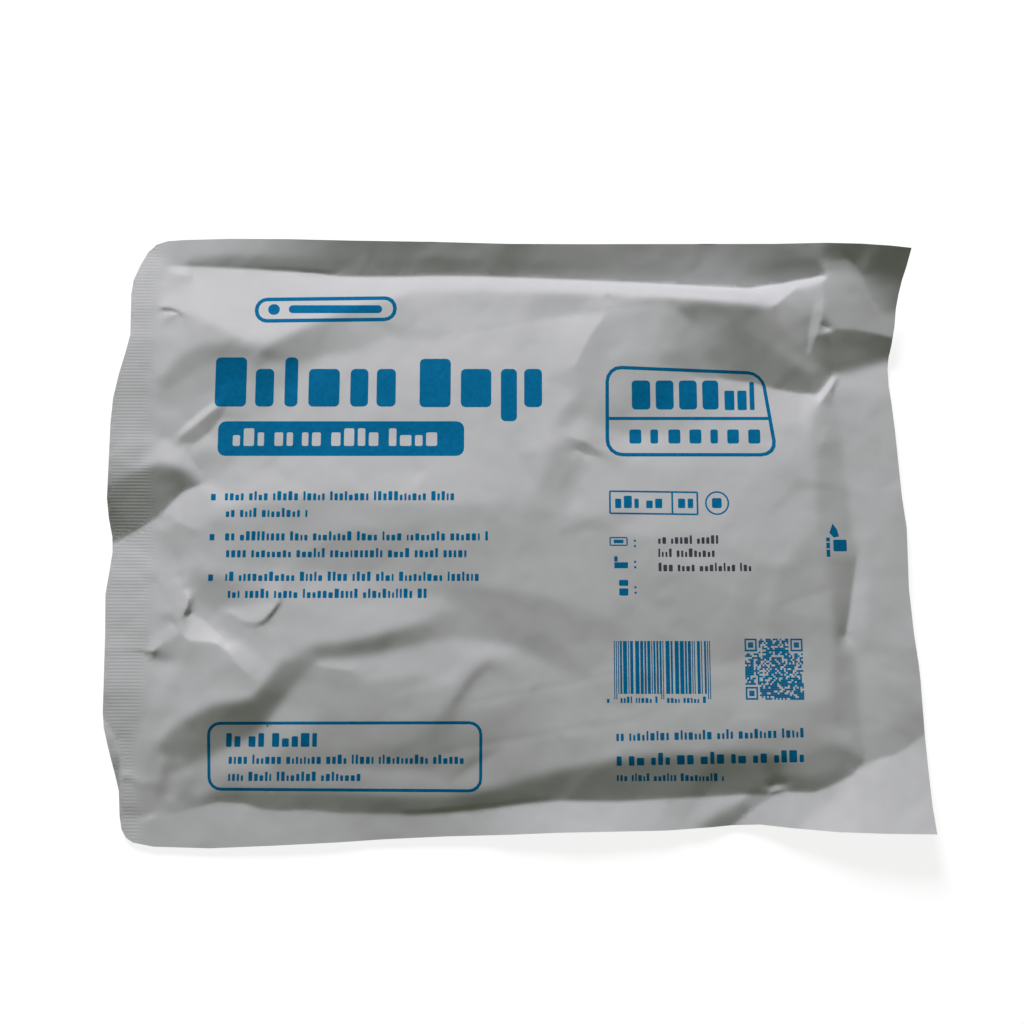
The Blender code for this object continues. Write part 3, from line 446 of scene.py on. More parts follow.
    soft("top_centre", (-10, 72, 7), (5, 72, 7.1), (18, 73, 7.4)),
    crisp(
        "crease_29", (29, 81, 8.2), (28.6, 76, 9.2), (26.5, 71.5, 9.8), (22.5, 66, 10.3),
        (19.5, 60, 10.7), (17, 55, 11.2),
    ),
    soft("crease_29_foot", (36, 77, 9.7), (34, 70, 9.5), (29, 61, 9.6), (26, 53, 9.9), (24, 46, 10.2)),
    soft("smudge_crest", (9, 33, 12.8), (13, 40, 12.2), (18, 46, 11.4)),
    soft("smudge_foot", (15, 34, 11.6), (20, 39, 10.8), (23, 43, 10.4)),
    crisp("spot_crest", (15, 30.5, 12.5), (20, 29.3, 12.3), (24.5, 26.2, 11.9)),
    crisp("spot_foot", (17, 26.5, 11.8), (20.5, 24.5, 11.4), (24.5, 24, 11.4)),
    soft("upright_crest", (9, 27, 13.8), (7, 18, 14), (2, 8, 14.6)),
    soft("upright_foot", (18, 24, 12.4), (17, 12, 12.3), (14, 4, 13.3)),
    soft("box_inside", (36, 60, 10), (48, 60, 9.4), (36, 45, 9.5), (48, 44, 8.6)),
    soft("right_centre", (34, 22, 11.2), (50, 20, 10.8), (70, 20, 9.6), (84, 20, 8.8)),
    soft(
        "box_crest", (36, 80.6, 9.8), (44, 80.4, 10.8), (50, 80.2, 12), (56, 79.8, 13.2),
        (64, 79.2, 14.5), (72, 78.6, 14.8), (78, 77.6, 14.2), (84.5, 75.6, 12.2),
    ),
    soft(
        "box_side", (54.5, 74.5, 11.4), (57, 69.5, 9.8), (59, 63, 8.6), (59.5, 56, 7.2),
        (58, 51.5, 6.2),
    ),
    crisp(
        "box_foot", (58, 51, 6.2), (66, 50.5, 5.2), (76, 49.2, 4.2), (84, 47, 3.4), (92, 45.5, 2.8),
        (98.3, 44.9, 2.6),
    ),
    soft("box_below", (58, 42, 7.4), (70, 38, 6.8), (82, 35, 6.8), (92, 35, 6.4)),
    soft(
        "diag_ridge", (71, 70.5, 12.3), (77, 66, 10.5), (85, 60.5, 8.7), (91, 56.3, 7.4),
        (94.5, 53, 6.1), (96.6, 48.5, 3.9),
    ),
    soft(
        "diag_valley", (80, 74.2, 12.6), (83, 71.8, 11.7), (88, 67.5, 10.4), (92.5, 63, 8.7),
        (95.3, 59.5, 6.9), (96.6, 56.5, 5.7),
    ),
    crisp("white_facet", (84.5, 75.6, 12.2), (88, 79, 11.3), (92, 82, 10.4)),
    crisp("fold_valley", (98.6, 77, 10.2), (97, 73, 9.6), (95.9, 66, 8), (95.4, 60, 6.7)),
    crisp(
        "facet_left", (102.5, 87.2, 10.8), (101.8, 84, 11), (101.2, 78, 10.8), (101, 74, 10.8),
        (100.4, 70.6, 10.2), (98.4, 65.5, 9), (96.6, 60.8, 7.2),
    ),
    crisp(
        "facet_apex", (102.5, 87.4, 10.8), (105.6, 90.4, 11.4), (109.5, 93, 12), (112.6, 90.6, 11.4),
        (114.5, 87, 10.6), (117.5, 79.5, 9.1), (120.5, 74, 7.8), web=Web.SEAL,
    ),
    crisp("dimple", (100.4, 69.2, 9), (102, 68.3, 8.6), (103.4, 67.4, 9)),
    crisp(
        "brow", (104, 67.4, 9.1), (106, 67.9, 9.1), (112, 67.6, 8.3), (118, 66.4, 7.4),
        (124, 64.9, 6.4), (130, 63.5, 5.3), web=Web.SEAL,
    ),
    soft(
        "brow_foot", (103.6, 51.7, 2.6), (110, 53, 2.4), (116, 55, 2.2), (122, 57, 2.2), (129, 58, 2.4),
        web=Web.SEAL,
    ),
    crisp("edge_strip", (98.6, 42, 4.8), (100.4, 44.4, 4.7), (102.6, 47.4, 4.4), (104.6, 50.8, 3.4)),
    crisp("side_valley", (104.2, 47.5, 3.2), (102.6, 41, 3.8), (101, 35, 4.8), (99.5, 29, 6.4)),
    soft(
        "block_ridge", (112, -6, 4), (112.5, -18, 4.4), (111.5, -28, 4.4), (110.8, -35.6, 4.2),
        web=Web.SEAL,
    ),
    soft(
        "right_mid", (116, 44, 3.6), (116, 25, 3.8), (117, 5, 4), (119, -10, 4.2), (120, -30, 4),
        (121, -50, 4.2), (120, -64, 3.6), web=Web.SEAL,
    ),
    crisp(
        "corner_line", (109, -75.5, 3.2), (114, -74.8, 2.9), (118, -74, 2.7), (123, -71.5, 2.5),
        (126, -69, 2.5), (134, -64, 2.7), web=Web.SEAL,
    ),
    crisp(
        "flange_fold", (63, -100, 0.8), (65.5, -96.5, 1.2), (70.5, -92.5, 1.7), (75.5, -89, 2.2),
        (80, -86.4, 2.6), web=Web.SEAL,
    ),
    soft(
        "flange_dark", (51, -98.5, 3.2), (57, -95, 3.5), (63, -91.5, 3.5), (69.5, -88.4, 3.1),
        web=Web.SEAL,
    ),
    soft("top_band", (80, 80, 8.2), (88, 81.6, 9), (93, 83.2, 9.8), (97.5, 84, 10.4), (101, 85.2, 11)),
    soft("box_point", (50, 76, 10.8), (54, 75, 11.6), (60, 75, 12)),
    soft(
        "bottom_slope", (-95, -79, 5.6), (-84, -78.5, 6.4), (-72, -78, 7), (-58, -78, 7.2),
        (-40, -78, 7.2), (-25, -78, 7.2), (-12, -76.6, 7.4),
    ),
    soft("low_mid", (-64, -52, 11.6), (-48, -50, 12.5), (-34, -48, 12.7)),
    soft(
        "mid_lower", (8, -68, 8.5), (25, -67, 9.2), (45, -66.5, 9.7), (60, -66.5, 9.9), (76, -66, 9.7),
        (92, -65.5, 8.8),
    ),
    soft("mid_right_crest", (36, -24, 11.6), (48, -25, 11.9), (62, -25, 12), (80, -25, 11.4)),
    soft("plateau_left", (-112.5, 87.5, 3.6), (-112, 82, 5.8), (-111.5, 77, 7.4)),
    soft("plateau_corner", (-119, 87, 5.4), (-118, 80, 6.4)),
    crisp("spot_75", (-122.5, 75.6, 7.6), (-119, 75.2, 7.9), (-115.5, 73.6, 8.5)),
    crisp("spot_75_foot", (-121.5, 74.4, 6.9), (-118.5, 73.6, 7.2), (-116, 72.6, 8)),
    soft("bright_tip", (-90.5, 60, 11.2), (-90, 57, 10.8), (-89.5, 54.5, 10), (-88, 50, 9.6)),
    crisp("patch_crease", (-113.4, 27.6, 6.8), (-110.6, 23, 6.8), (-107.4, 18.8, 6.6)),
    soft("patch_right", (-106, 27, 7.4), (-103.5, 21, 7.4), (-103.5, 15.5, 7.4)),
    soft("facet_low", (-119, -1, 4.2), (-115, -6.5, 5.2)),
    crisp(
        "crescent_edge", (-114.2, -16.6, 5.6), (-111.6, -20, 7.2), (-109.8, -23.6, 9),
        (-110.2, -26.6, 9.4), (-111.4, -29.4, 8.8),
    ),
    crisp(
        "bright_ridge_top", (-111.4, -29.4, 8.2), (-109, -28.2, 7.2), (-104.6, -30.4, 7.6),
        (-100.4, -34.2, 8.6), (-97.2, -38.6, 10.4),
    ),
    soft("olive_right", (-84, -35, 12), (-78, -38, 12.5)),
    soft("lens_right", (-82.6, -32, 11.6), (-79, -29, 12.1), (-76.5, -26, 12.2)),
    soft("tip_top", (-121, -34, 4.6), (-117.5, -33.5, 5.4)),
    soft("streak_left", (-118, -50, 5.2), (-121.5, -58, 4.6), (-124.5, -68, 3.4), (-126, -78, 2.4)),
    soft("streak_side", (-110.5, -50, 8.4), (-113.5, -58, 7.6), (-117, -66, 5.8)),
    soft("corner_fold", (-128, -80, 2.6), (-122.6, -83, 3.4), (-117, -82, 3.9), (-116, -76, 4.8)),
    soft("lobe_right", (-105.5, -80, 3.8), (-104, -85, 2.8)),
    soft("streak_right", (-108.5, -6, 8), (-107, -11, 8.8)),
    soft("corner_foot", (-128, -93, 1), (-121, -93, 1.2), (-116, -90.5, 2), web=Web.SEAL),
    soft("light_27", (-46, -22, 12.7), (-34, -22, 12.5), (-26, -23, 12.7)),
    soft("olive_mid", (-20, -28, 12.1), (-8, -30, 11.8), (4, -34, 11.5), (14, -40, 11)),
    soft(
        "curl_crest_outer", (-142, 9.4, 9.6), (-138, 12.8, 9.8), (-134, 16, 9.9), (-129, 19.2, 9.8),
        (-124, 21.2, 9.7), web=Web.SEAL,
    ),
    crisp(
        "curl_foot_outer", (-142, -6.5, 2.5), (-134, -4.5, 2.6), (-127, -0.6, 2.7), (-121, 3.6, 3),
        web=Web.SEAL,
    ),
    crisp("brow_root", (99, 64.5, 8.4), (102, 66.6, 9.2)),
    crisp("brow_foot_root", (98.3, 45.3, 2.3), (100.6, 47.8, 2.5), (103, 51.4, 2.5)),
    soft("box_low", (27, 33, 9.9), (34, 31.6, 8.9), (44, 31.6, 8.5), (53, 33, 8.6)),
    soft("box_swell", (24, 4, 13.2), (34, -3, 13.3), (42, -3, 13.4), (52, -2, 13), (62, -2, 12.6)),
    soft("text_top", (-90, 0, 11.8), (-72, -1, 13.2), (-56, -1, 14.4), (-44, -1, 15), (-34, 0, 15)),
    soft("valley_band", (0, -10, 13.7), (8, -10, 13.2), (18, -10, 12.7), (28, -10, 12.5)),
    soft("lobe_valley", (-114.5, -75, 4), (-114, -81, 2.8), (-113.5, -87, 1.9)),
    crisp("crumple_crest", (77.6, -85.7, 2.9), (80, -85.3, 3.4), (82.6, -84.7, 3.3)),
    crisp("crumple_foot", (78.8, -83.4, 2.9), (80.6, -83, 3), (82.8, -82.8, 3.4)),
    soft("root_facet", (97.2, 56, 5.4), (100, 55.4, 4.9), (102.6, 54.6, 3.8)),
    crisp("mouth_ray", (-118.2, 5.2, 4), (-114, 2, 6.3), (-109, -0.5, 8.4)),
    soft("white_edge_low", (87, -97, 5.4), (93, -91, 4.4), (98, -88, 3.9)),
    crisp(
        "crease_lip", (-113.5, 91.2, 3.8), (-108, 91, 3.7), (-100, 90.5, 3.6), (-88, 89.8, 3.7),
        (-76, 89, 3.8), (-66, 88, 3.8),
    ),
    crisp("corner_fleck", (-119.5, 88.2, 4.9), (-117, 87.2, 5.3), (-113.6, 86.6, 4.9)),
    crisp(
        "bottom_lip", (-38, -91.2, 3.5), (-28, -90.8, 3.7), (-18, -89.8, 3.8), (-8, -88.6, 3.7),
        (2, -87.4, 3.5), (12, -86.8, 3.2),
    ),
)


@dataclass
class Relief:
    """Heights of both webs on an even raster over the whole pouch.

    The folds are triangulated, which gives flat facets between them. The raster is then rounded
    over everywhere but beside crisp folds. The small facets of handled paper and a few faint
    pressed lines are added last.
    """

    folds: tuple[Fold, ...]
    seal: float = 0.35
    cell: float = 0.4
    step: float = 2.0
    low: Point2 = (-144.0, -109.0)
    high: Point2 = (139.0, 106.0)
    crisp_radius: float = 0.42
    middle_radius: float = 0.7
    soft_radius: float = 1.4
    middle_share: float = 0.3
    soft_share: float = 0.7
    crisp_reach: float = 2.3
    stamp_reach: float = 2.2
    merge: float = 0.05
    spread_radii: tuple[float, ...] = (2.0, 6.0, 18.0)
    least_weight: float = 0.02
    nothing: float = 1e-9
    crumple_seed: int = 11
    crumple_shift: float = 0.45
    crumple_radius: float = 0.55
    crumples: tuple[tuple[float, float], ...] = ((13.0, 0.30), (5.0, 0.10))
    pressed_width: float = 0.9
    pressed_depth: float = 0.075
    pressed: tuple[tuple[Point2, ...], ...] = (
        ((-20, 66), (5, 71), (22, 73.5), (45, 77)),
        ((-17, -57.5), (-3, -54.5), (15, -51), (30, -48)),
        ((-30, -74), (-10, -70), (8, -67), (35, -63)),
        ((84, -25.5), (100, -20)),
    )
    front: np.ndarray = field(init=False)
    back: np.ndarray = field(init=False)

    def __post_init__(self) -> None:
        """Works out both rasters."""
        rows, edges = self.samples()
        front, back = self.facets(rows)
        near = self.nearness(edges, front.shape, self.crisp_reach)
        pressed = np.vstack([stepped(line, self.cell) for line in self.pressed])
        dents = self.nearness(pressed, front.shape, self.pressed_width)
        self.front = self.rounded(front, near) + self.crumpled() - self.pressed_depth * dents
        self.back = np.maximum(self.rounded(back, near), 0)

    def middle(self) -> np.ndarray:
        """Middle of the placed outline's box, which is the CAD frame's origin."""
        loop = Outline(1.0).loop
        placed = Sight().placed(loop, self.at(self.front, loop[:, 0], loop[:, 1]))
        return (placed.min(axis=0) + placed.max(axis=0)) / 2

    def samples(self) -> tuple[np.ndarray, np.ndarray]:
        """Points along every fold.

        Returns:
            Rows of x, y, front height and back height, and the places on crisp folds.
        """
        rows, edges = [], []
        for fold in self.folds:
            points = stepped(fold.points, self.step)
            under = points[:, 2] - self.seal if fold.web is Web.SEAL else np.zeros(len(points))
            rows.append(np.column_stack([points, under]))
            if fold.edge is Edge.CRISP:
                edges.append(stepped(fold.points, self.cell)[:, :2])
        return np.vstack(rows), np.vstack(edges)

    def facets(self, rows: np.ndarray) -> tuple[np.ndarray, np.ndarray]:
        """Rasters of the flat facets between the folds.

        Args:
            rows: The folds' sampled points.

        Returns:
            Front and back heights.
        """
        plan = [Vector(row[:2]) for row in rows]
        joined, _, faces, sources = delaunay_2d_cdt(plan, [], [], 0, self.merge)[:4]
        places = np.array([(p.x, p.y) for p in joined])
        heights = rows[[source[0] for source in sources]][:, 2:4]
        xs = np.arange(self.low[0], self.high[0], self.cell)
        ys = np.arange(self.low[1], self.high[1], self.cell)
        rasters = np.zeros((2, len(ys), len(xs)))
        known = np.zeros((len(ys), len(xs)))
        for face in faces:
            (ax, ay), (bx, by), (cx, cy) = places[list(face)]
            area = (bx - ax) * (cy - ay) - (cx - ax) * (by - ay)
            if abs(area) < self.nothing:
                continue
            i0, i1 = np.searchsorted(xs, (min(ax, bx, cx), max(ax, bx, cx)))
            j0, j1 = np.searchsorted(ys, (min(ay, by, cy), max(ay, by, cy)))
            x, y = xs[None, i0:i1], ys[j0:j1, None]
            v = ((x - ax) * (cy - ay) - (cx - ax) * (y - ay)) / area
            w = ((bx - ax) * (y - ay) - (x - ax) * (by - ay)) / area
            hit = (v >= 0) & (w >= 0) & (v + w <= 1)
            for raster, (a, b, c) in zip(rasters, heights[list(face)].T):
                window = raster[j0:j1, i0:i1]
                window[hit] = (a + v * (b - a) + w * (c - a))[hit]
            known[j0:j1, i0:i1][hit] = 1
        return self.spread(rasters[0], known), self.spread(rasters[1], known)

    def spread(self, raster: np.ndarray, known: np.ndarray) -> np.ndarray:
        """Carries the heights on over the outline, so that rounding doesn't pull the rim down.

        Args:
            raster: Heights, which are 0 where no facet lies.
            known: 1 in the cells that have a facet.

        Returns:
            The raster with the cells near the rim filled.
        """
        filled, done = raster, known > 0
        for radius in self.spread_radii:
            weight = blurred(known, radius)
            near = blurred(raster * known, radius) / np.maximum(weight, self.nothing)
            fresh = ~done & (weight > self.least_weight)
            filled = np.where(fresh, near, filled)
            done |= fresh
        return filled

    def nearness(self, places: np.ndarray, shape: tuple[int, int], width: float) -> np.ndarray:
        """How close each raster cell lies to given places, from 0 to 1.

        Args:
            places: Places along one or more lines.
            shape: The raster's shape.
            width: Distance over which the nearness fades.

        Returns:
            The raster of nearness.
        """
        near = np.zeros(shape)
        reach = int(self.stamp_reach * width / self.cell)
        steps = np.arange(-reach, reach + 1) * self.cell
        stamp = np.exp(-(steps[:, None] ** 2 + steps[None, :] ** 2) / width**2)
        for x, y in places:
            i = int(round((x - self.low[0]) / self.cell))
            j = int(round((y - self.low[1]) / self.cell))
            if not (reach <= i < shape[1] - reach and reach <= j < shape[0] - reach):
                continue
            window = near[j - reach : j + reach + 1, i - reach : i + reach + 1]
            np.maximum(window, stamp, out=window)
        return near

    def rounded(self, raster: np.ndarray, near: np.ndarray) -> np.ndarray:
        """A raster rounded over away from the crisp folds, and only a little beside them."""
        least, middle, most = (
            blurred(raster, radius / self.cell)
            for radius in (self.crisp_radius, self.middle_radius, self.soft_radius)
        )
        return near * least + (1 - near) * (self.middle_share * middle + self.soft_share * most)

    def crumpled(self) -> np.ndarray:
        """The slight facets that handled paper keeps all over, in a coarse and a fine layer."""
        random = np.random.default_rng(self.crumple_seed)
        total = 0.0
        for spacing, height in self.crumples:
            x, y = np.meshgrid(
                np.arange(self.low[0] - spacing, self.high[0] + spacing, spacing),
                np.arange(self.low[1] - spacing, self.high[1] + spacing, spacing),
            )
            shifts = random.uniform(-self.crumple_shift, self.crumple_shift, (*x.shape, 2))
            places = np.stack([x, y], axis=-1) + shifts * spacing
            heights = random.uniform(-height, height, x.shape)
            rows = np.column_stack([places.reshape(-1, 2), heights.ravel(), heights.ravel()])
            total = total + self.facets(rows)[0]
        return blurred(total, self.crumple_radius / self.cell)

    def at(self, raster: np.ndarray, x: np.ndarray, y: np.ndarray) -> np.ndarray:
        """Smooth heights at any places, by Catmull-Rom interpolation of a raster.

        Args:
            raster: The front or the back raster.
            x: Places' x.
            y: Places' y.

        Returns:
            The heights.
        """
        u, v = (x - self.low[0]) / self.cell, (y - self.low[1]) / self.cell
        i = np.clip(np.floor(u).astype(int), 1, raster.shape[1] - 3)
        j = np.clip(np.floor(v).astype(int), 1, raster.shape[0] - 3)
        wu, wv = self.cubic(u - i), self.cubic(v - j)
        rows = [sum(wu[a] * raster[j + b - 1, i + a - 1] for a in range(4)) for b in range(4)]
        return sum(wv[b] * rows[b] for b in range(4))

    @staticmethod
    def cubic(t: np.ndarray) -> tuple[np.ndarray, ...]:
        """The four Catmull-Rom weights at a fraction of a cell."""
        t2, t3 = t * t, t * t * t
        return (
            (-t3 + 2 * t2 - t) / 2,
            (3 * t3 - 5 * t2 + 2) / 2,
            (-3 * t3 + 4 * t2 + t) / 2,
            (t3 - t2) / 2,
        )


@dataclass
class SealRibs:
    """Fine ribs that the heated jaws press across the left seal."""

    pitch: float = 1.1
    height: float = 0.032
    fade: float = 4.0
    inner: tuple[Point2, ...] = (
        (-97, -121), (-84, -123.5), (-72, -124.3), (-60, -122.5), (-45, -121.5), (-34, -121.5),
        (-20, -120.5), (0, -121), (20, -122.5), (45, -124), (75, -124.2), (88, -122.5), (97, -121),
    )

    def inner_at(self, y: np.ndarray) -> np.ndarray:
        """The ribbed band's inner edge at the given y."""
        line = np.array(self.inner)
        return np.interp(y, line[:, 0], line[:, 1])

    def height_at(self, x: np.ndarray, y: np.ndarray) -> np.ndarray:
        """The ribs' own height at given places, which fades at the band's inner edge."""
        share = np.clip((self.inner_at(y) - x) / self.fade, 0, 1)
        return self.height * share * np.sin(2 * math.pi * y / self.pitch)


@dataclass
class PrintedFront:
    """The printed fields, as plain blocks, bars, rings and boxes with nothing to read in them."""

    seed: int = 3
    corner_points: int = 5
    ring_points: int = 28
    sharp_radius: float = 0.25
    least_flat: float = 0.01
    bold_height: float = 3.0
    bold_widths: tuple[float, float] = (0.42, 0.84)
    bold_gap: float = 0.26
    light_widths: tuple[float, float] = (0.26, 0.6)
    light_gap: float = 0.25
    group_gap: float = 0.5
    first_group: float = 0.6
    later_group: float = 1.2
    least_block: float = 0.35
    corner_share: float = 0.12
    loops: list[Loop] = field(default_factory=list)

    def __post_init__(self) -> None:
        """Lays out every printed field."""
        self.random = np.random.default_rng(self.seed)
        self.top_mark()
        self.heading()
        self.banner()
        self.instructions()
        self.capacity_box()
        self.marks()
        self.bar_code()
        self.square_code()
        self.maker_lines()
        self.caution_box()

    def add(self, points: Iterable[Point2], adds: int = 1, ink: Ink = Ink.BLUE) -> None:
        """Adds one printed loop, turned anticlockwise."""
        loop = tuple((float(x), float(y)) for x, y in points)
        twice = sum(a[0] * b[1] - b[0] * a[1] for a, b in zip(loop, (*loop[1:], loop[0])))
        self.loops.append(Loop(ink, loop if twice > 0 else loop[::-1], adds))

    def rounded(self, x0: float, y0: float, x1: float, y1: float, radius: float) -> list[Point2]:
        """Corners of a rounded rectangle."""
        radius = min(radius, (x1 - x0) / 2 - self.least_flat, (y1 - y0) / 2 - self.least_flat)
        if radius < self.sharp_radius:
            return [(x0, y0), (x1, y0), (x1, y1), (x0, y1)]
        turns = np.linspace(0, math.pi / 2, self.corner_points)
        corners = ((x1, y1, 0), (x0, y1, 1), (x0, y0, 2), (x1, y0, 3))
        points = []
        for cx, cy, quarter in corners:
            mx = cx - radius if cx == x1 else cx + radius
            my = cy - radius if cy == y1 else cy + radius
            for turn in turns + quarter * math.pi / 2:
                points.append((mx + radius * math.cos(turn), my + radius * math.sin(turn)))
        return points

    def block(
        self, x0: float, y0: float, x1: float, y1: float, radius: float = 0.0, adds: int = 1,
        ink: Ink = Ink.BLUE,
    ) -> None:
        """Adds a solid block, or one left out of the ink round it."""
        self.add(self.rounded(x0, y0, x1, y1, radius), adds, ink)

    def frame(self, corners: Sequence[Point2], radius: float, line: float) -> None:
        """Adds a rounded frame with four free corners.

        Args:
            corners: Lower left, lower right, upper right and upper left corner of its outer edge.
            radius: The outer corners' radius.
            line: The line's width.
        """
        a, b, c, d = (np.array(corner, float) for corner in corners)
        width = (np.linalg.norm(b - a) + np.linalg.norm(c - d)) / 2
        height = (np.linalg.norm(d - a) + np.linalg.norm(c - b)) / 2
        for inset, adds in ((0.0, 1), (line, -1)):
            ring = self.rounded(inset, inset, width - inset, height - inset, radius - inset)
            placed = []
            for x, y in ring:
                u, v = x / width, y / height
                placed.append((1 - v) * ((1 - u) * a + u * b) + v * ((1 - u) * d + u * c))
            self.add(placed, adds)

    def ring(self, x: float, y: float, radius: float, line: float) -> None:
        """Adds a circle's line."""
        turns = np.linspace(0, 2 * math.pi, self.ring_points, endpoint=False)
        for r, adds in ((radius, 1), (radius - line, -1)):
            self.add([(x + r * math.cos(t), y + r * math.sin(t)) for t in turns], adds)

    def row(
        self, x0: float, x1: float, y: float, height: float, tilt: float = 0.0, adds: int = 1,
        ink: Ink = Ink.BLUE,
    ) -> None:
        """Adds a line of small blocks that fills a stretch, in groups with wider gaps between.

        Args:
            x0: Left end.
            x1: Right end.
            y: The blocks' foot.
            height: The blocks' height.
            tilt: Rise of the line over its length.
            adds: -1 where the blocks are left out of a filled field.
            ink: The ink.
        """
        x, bold = x0, height >= self.bold_height
        widths = self.bold_widths if bold else self.light_widths
        gap = self.bold_gap if bold else self.light_gap
        group = int(self.random.integers(3, 8) * self.first_group / sum(widths))
        while x < x1 - self.least_block * height:
            end = min(x + height * self.random.uniform(*widths), x1)
            foot = y + tilt * (x - x0) / (x1 - x0)
            top = foot + height * self.random.choice((0.8, 1.0, 1.0, 1.3))
            self.block(x, foot, end, top, self.corner_share * height, adds, ink)
            x = end + gap * height
            group -= 1
            if group <= 0:
                x += self.group_gap * height
                group = int(self.random.integers(3, 9) * self.later_group / sum(widths))

    def top_mark(self) -> None:
        """A disc and bars where the pouch has its top mark."""
        self.frame(((-91, 70), (-43, 70.6), (-43, 79.4), (-91, 78.8)), 4.2, 1.3)
        self.block(-86.5, 72.8, -82.5, 76.6, 1.9)
        self.block(-79.5, 73.4, -48, 76.2, 1.3)

    def heading(self) -> None:
        """Two groups of large blocks."""
        for x0, x1, top in (
            (-103.5, -93, 58), (-90, -83.8, 54), (-80.2, -75.8, 58), (-72.2, -61.8, 54),
            (-58.2, -52.2, 54), (-49.4, -43, 54),
        ):
            self.block(x0, 41, x1, top, 1.6)
        for x0, x1, foot, top in (
            (-35, -24.6, 40.8, 57.5), (-21.2, -11, 40.8, 54), (-7.8, -2.4, 36, 54), (0, 6, 40.8, 54),
        ):
            self.block(x0, foot, x1, top, 1.6)

    def banner(self) -> None:
        """A filled rounded bar with pale blocks in it."""
        self.block(-102, 24.2, -20, 36, 2.6)
        self.row(-97, -77, 27.6, 4.6, adds=-1)
        self.row(-74, -27, 27.6, 4.6, adds=-1)

    def instructions(self) -> None:
        """Six lines of small blocks, in three steps."""
        for x0, x1, y in (
            (-99, -22, 9.2), (-98.5, -71, 3.6), (-98.5, -12, -4.2), (-98, -18.5, -9.8),
            (-98, -15, -17.6), (-97, -32, -23.2),
        ):
            self.row(x0, x1, y, 2.4)
        for y in (9.2, -4.2, -17.6):
            self.block(-103.6, y, -102, y + 2.2, 0.3)

    def capacity_box(self) -> None:
        """A divided frame with a bold row over a light one."""
        self.frame(((27, 24), (84.5, 24), (80.2, 53), (27.3, 55.3)), 5.5, 1.2)
        self.block(28.3, 36.4, 82.4, 37.5)
        for x0, x1 in ((36, 42.2), (44, 50), (51.8, 57.8), (59.6, 65)):
            self.block(x0, 40, x1, 50, 1.2)
        for x0, x1, top in ((67, 70.3, 46.5), (71.3, 74.4, 46.5), (75.4, 77, 49.5)):
            self.block(x0, 39.8, x1, top, 0.5)
        for x0, x1 in ((35, 39), (42, 44.6), (48, 52), (55, 59), (62, 64.5), (67.6, 71.5), (74.6, 78.6)):
            self.block(x0, 28.4, x1, 33.2, 0.7)

    def marks(self) -> None:
        """The two-cell box, the ring, the small marks and the stamped rows."""
        self.frame(((28, 4.6), (57.5, 4.2), (57.5, 12.2), (28, 12.6)), 0.6, 0.6)
        self.block(48.6, 4.8, 49.2, 11.8)
        self.row(30, 47, 6.6, 3.2)
        self.row(50.8, 56, 6.6, 3.2)
        self.ring(63.7, 8.3, 4.0, 0.55)
        self.block(62, 6.6, 65.2, 10, 0.6)
        self.frame(((28, -6), (34, -6), (34, -3), (28, -3)), 0.5, 0.45)
        for sides in (
            (29.4, -5.1, 32.6, -3.9), (29.5, -13.4, 34, -11.4), (29.5, -11.2, 30.6, -9.4),
            (31, -19.2, 34, -17.2, 0.4), (31, -22.4, 34, -20, 0.3),
        ):
            self.block(*sides)
        for y in (-4.6, -11.6, -20):
            self.block(36, y, 36.7, y + 0.7)
            self.block(36, y - 1.8, 36.7, y - 1.1)
        for x1, y in ((65, -5.3), (64.5, -9.7), (75.5, -14.4)):
            self.row(44, x1, y, 2.2, ink=Ink.GREY)
        self.block(101.6, -7.8, 106, -3.9, 0.5)
        self.add(((100.4, -1.6), (101.6, 1.5), (103, -0.6), (103.6, -2.9), (101.8, -3.2)))
        for foot, top in ((-9.6, -7.2), (-6.8, -4.9), (-4.5, -3.2)):
            self.block(99.3, foot, 100.5, top)

    def bar_code(self) -> None:
        """Upright bars of uneven width, with a row of blocks under them."""
        left, right, top, foot, long_foot = 29.0, 60.3, -37.2, -54.3, -56.0
        modules, guards = 95, (0, 2, 46, 48, 92, 94)
        unit = (right - left) / modules
        place = 0
        while place < modules:
            guard = place in guards
            wide = 1 if guard else int(self.random.choice((1, 2, 3, 4)))
            limit = min((g for g in guards if g > place), default=modules)
            wide = min(wide, max(1, limit - place - 1))
            x0, x1 = left + place * unit, left + (place + wide) * unit
            self.block(x0, long_foot if guard else foot, x1, top)
            gap = int(self.random.choice((1, 1, 1, 2)))
            place += wide + min(gap, max(1, limit - place - wide)) if place + wide < limit else 1
        for start, stop in ((26.6, 28), (31, 43.4), (46, 58.6)):
            self.row(start, stop, -57.2, 1.6)

    def square_code(self) -> None:
        """A square of small cells with a nested square in three of its corners."""
        low, high, cells, corner = (71.5, -56.2), (90.4, -36.4), 33, 7
        filled_share, tall_share, far = 0.66, 0.97, cells - corner
        wide, tall = (high[0] - low[0]) / cells, (high[1] - low[1]) / cells
        filled = self.random.random((cells, cells)) < filled_share
        for i, j in ((0, 0), (0, far), (far, far)):
            for inset, inked in ((-1, False), (0, True), (1, False), (2, True)):
                rows = slice(max(0, j + inset), j + corner - inset)
                columns = slice(max(0, i + inset), i + corner - inset)
                filled[rows, columns] = inked
        for j in range(cells):
            i = 0
            while i < cells:
                if not filled[j, i]:
                    i += 1
                    continue
                start = i
                while i < cells and filled[j, i]:
                    i += 1
                x0, x1 = low[0] + start * wide, low[0] + i * wide
                y0 = low[1] + j * tall
                self.block(x0, y0, x1, y0 + tall * tall_share)

    def maker_lines(self) -> None:
        """Three lines of blocks at the lower right."""
        self.row(29.5, 90.5, -69.4, 2.4, 1.2)
        self.row(29.5, 90, -77.2, 3.0, 1.2)
        self.row(29.5, 64, -82, 1.9)

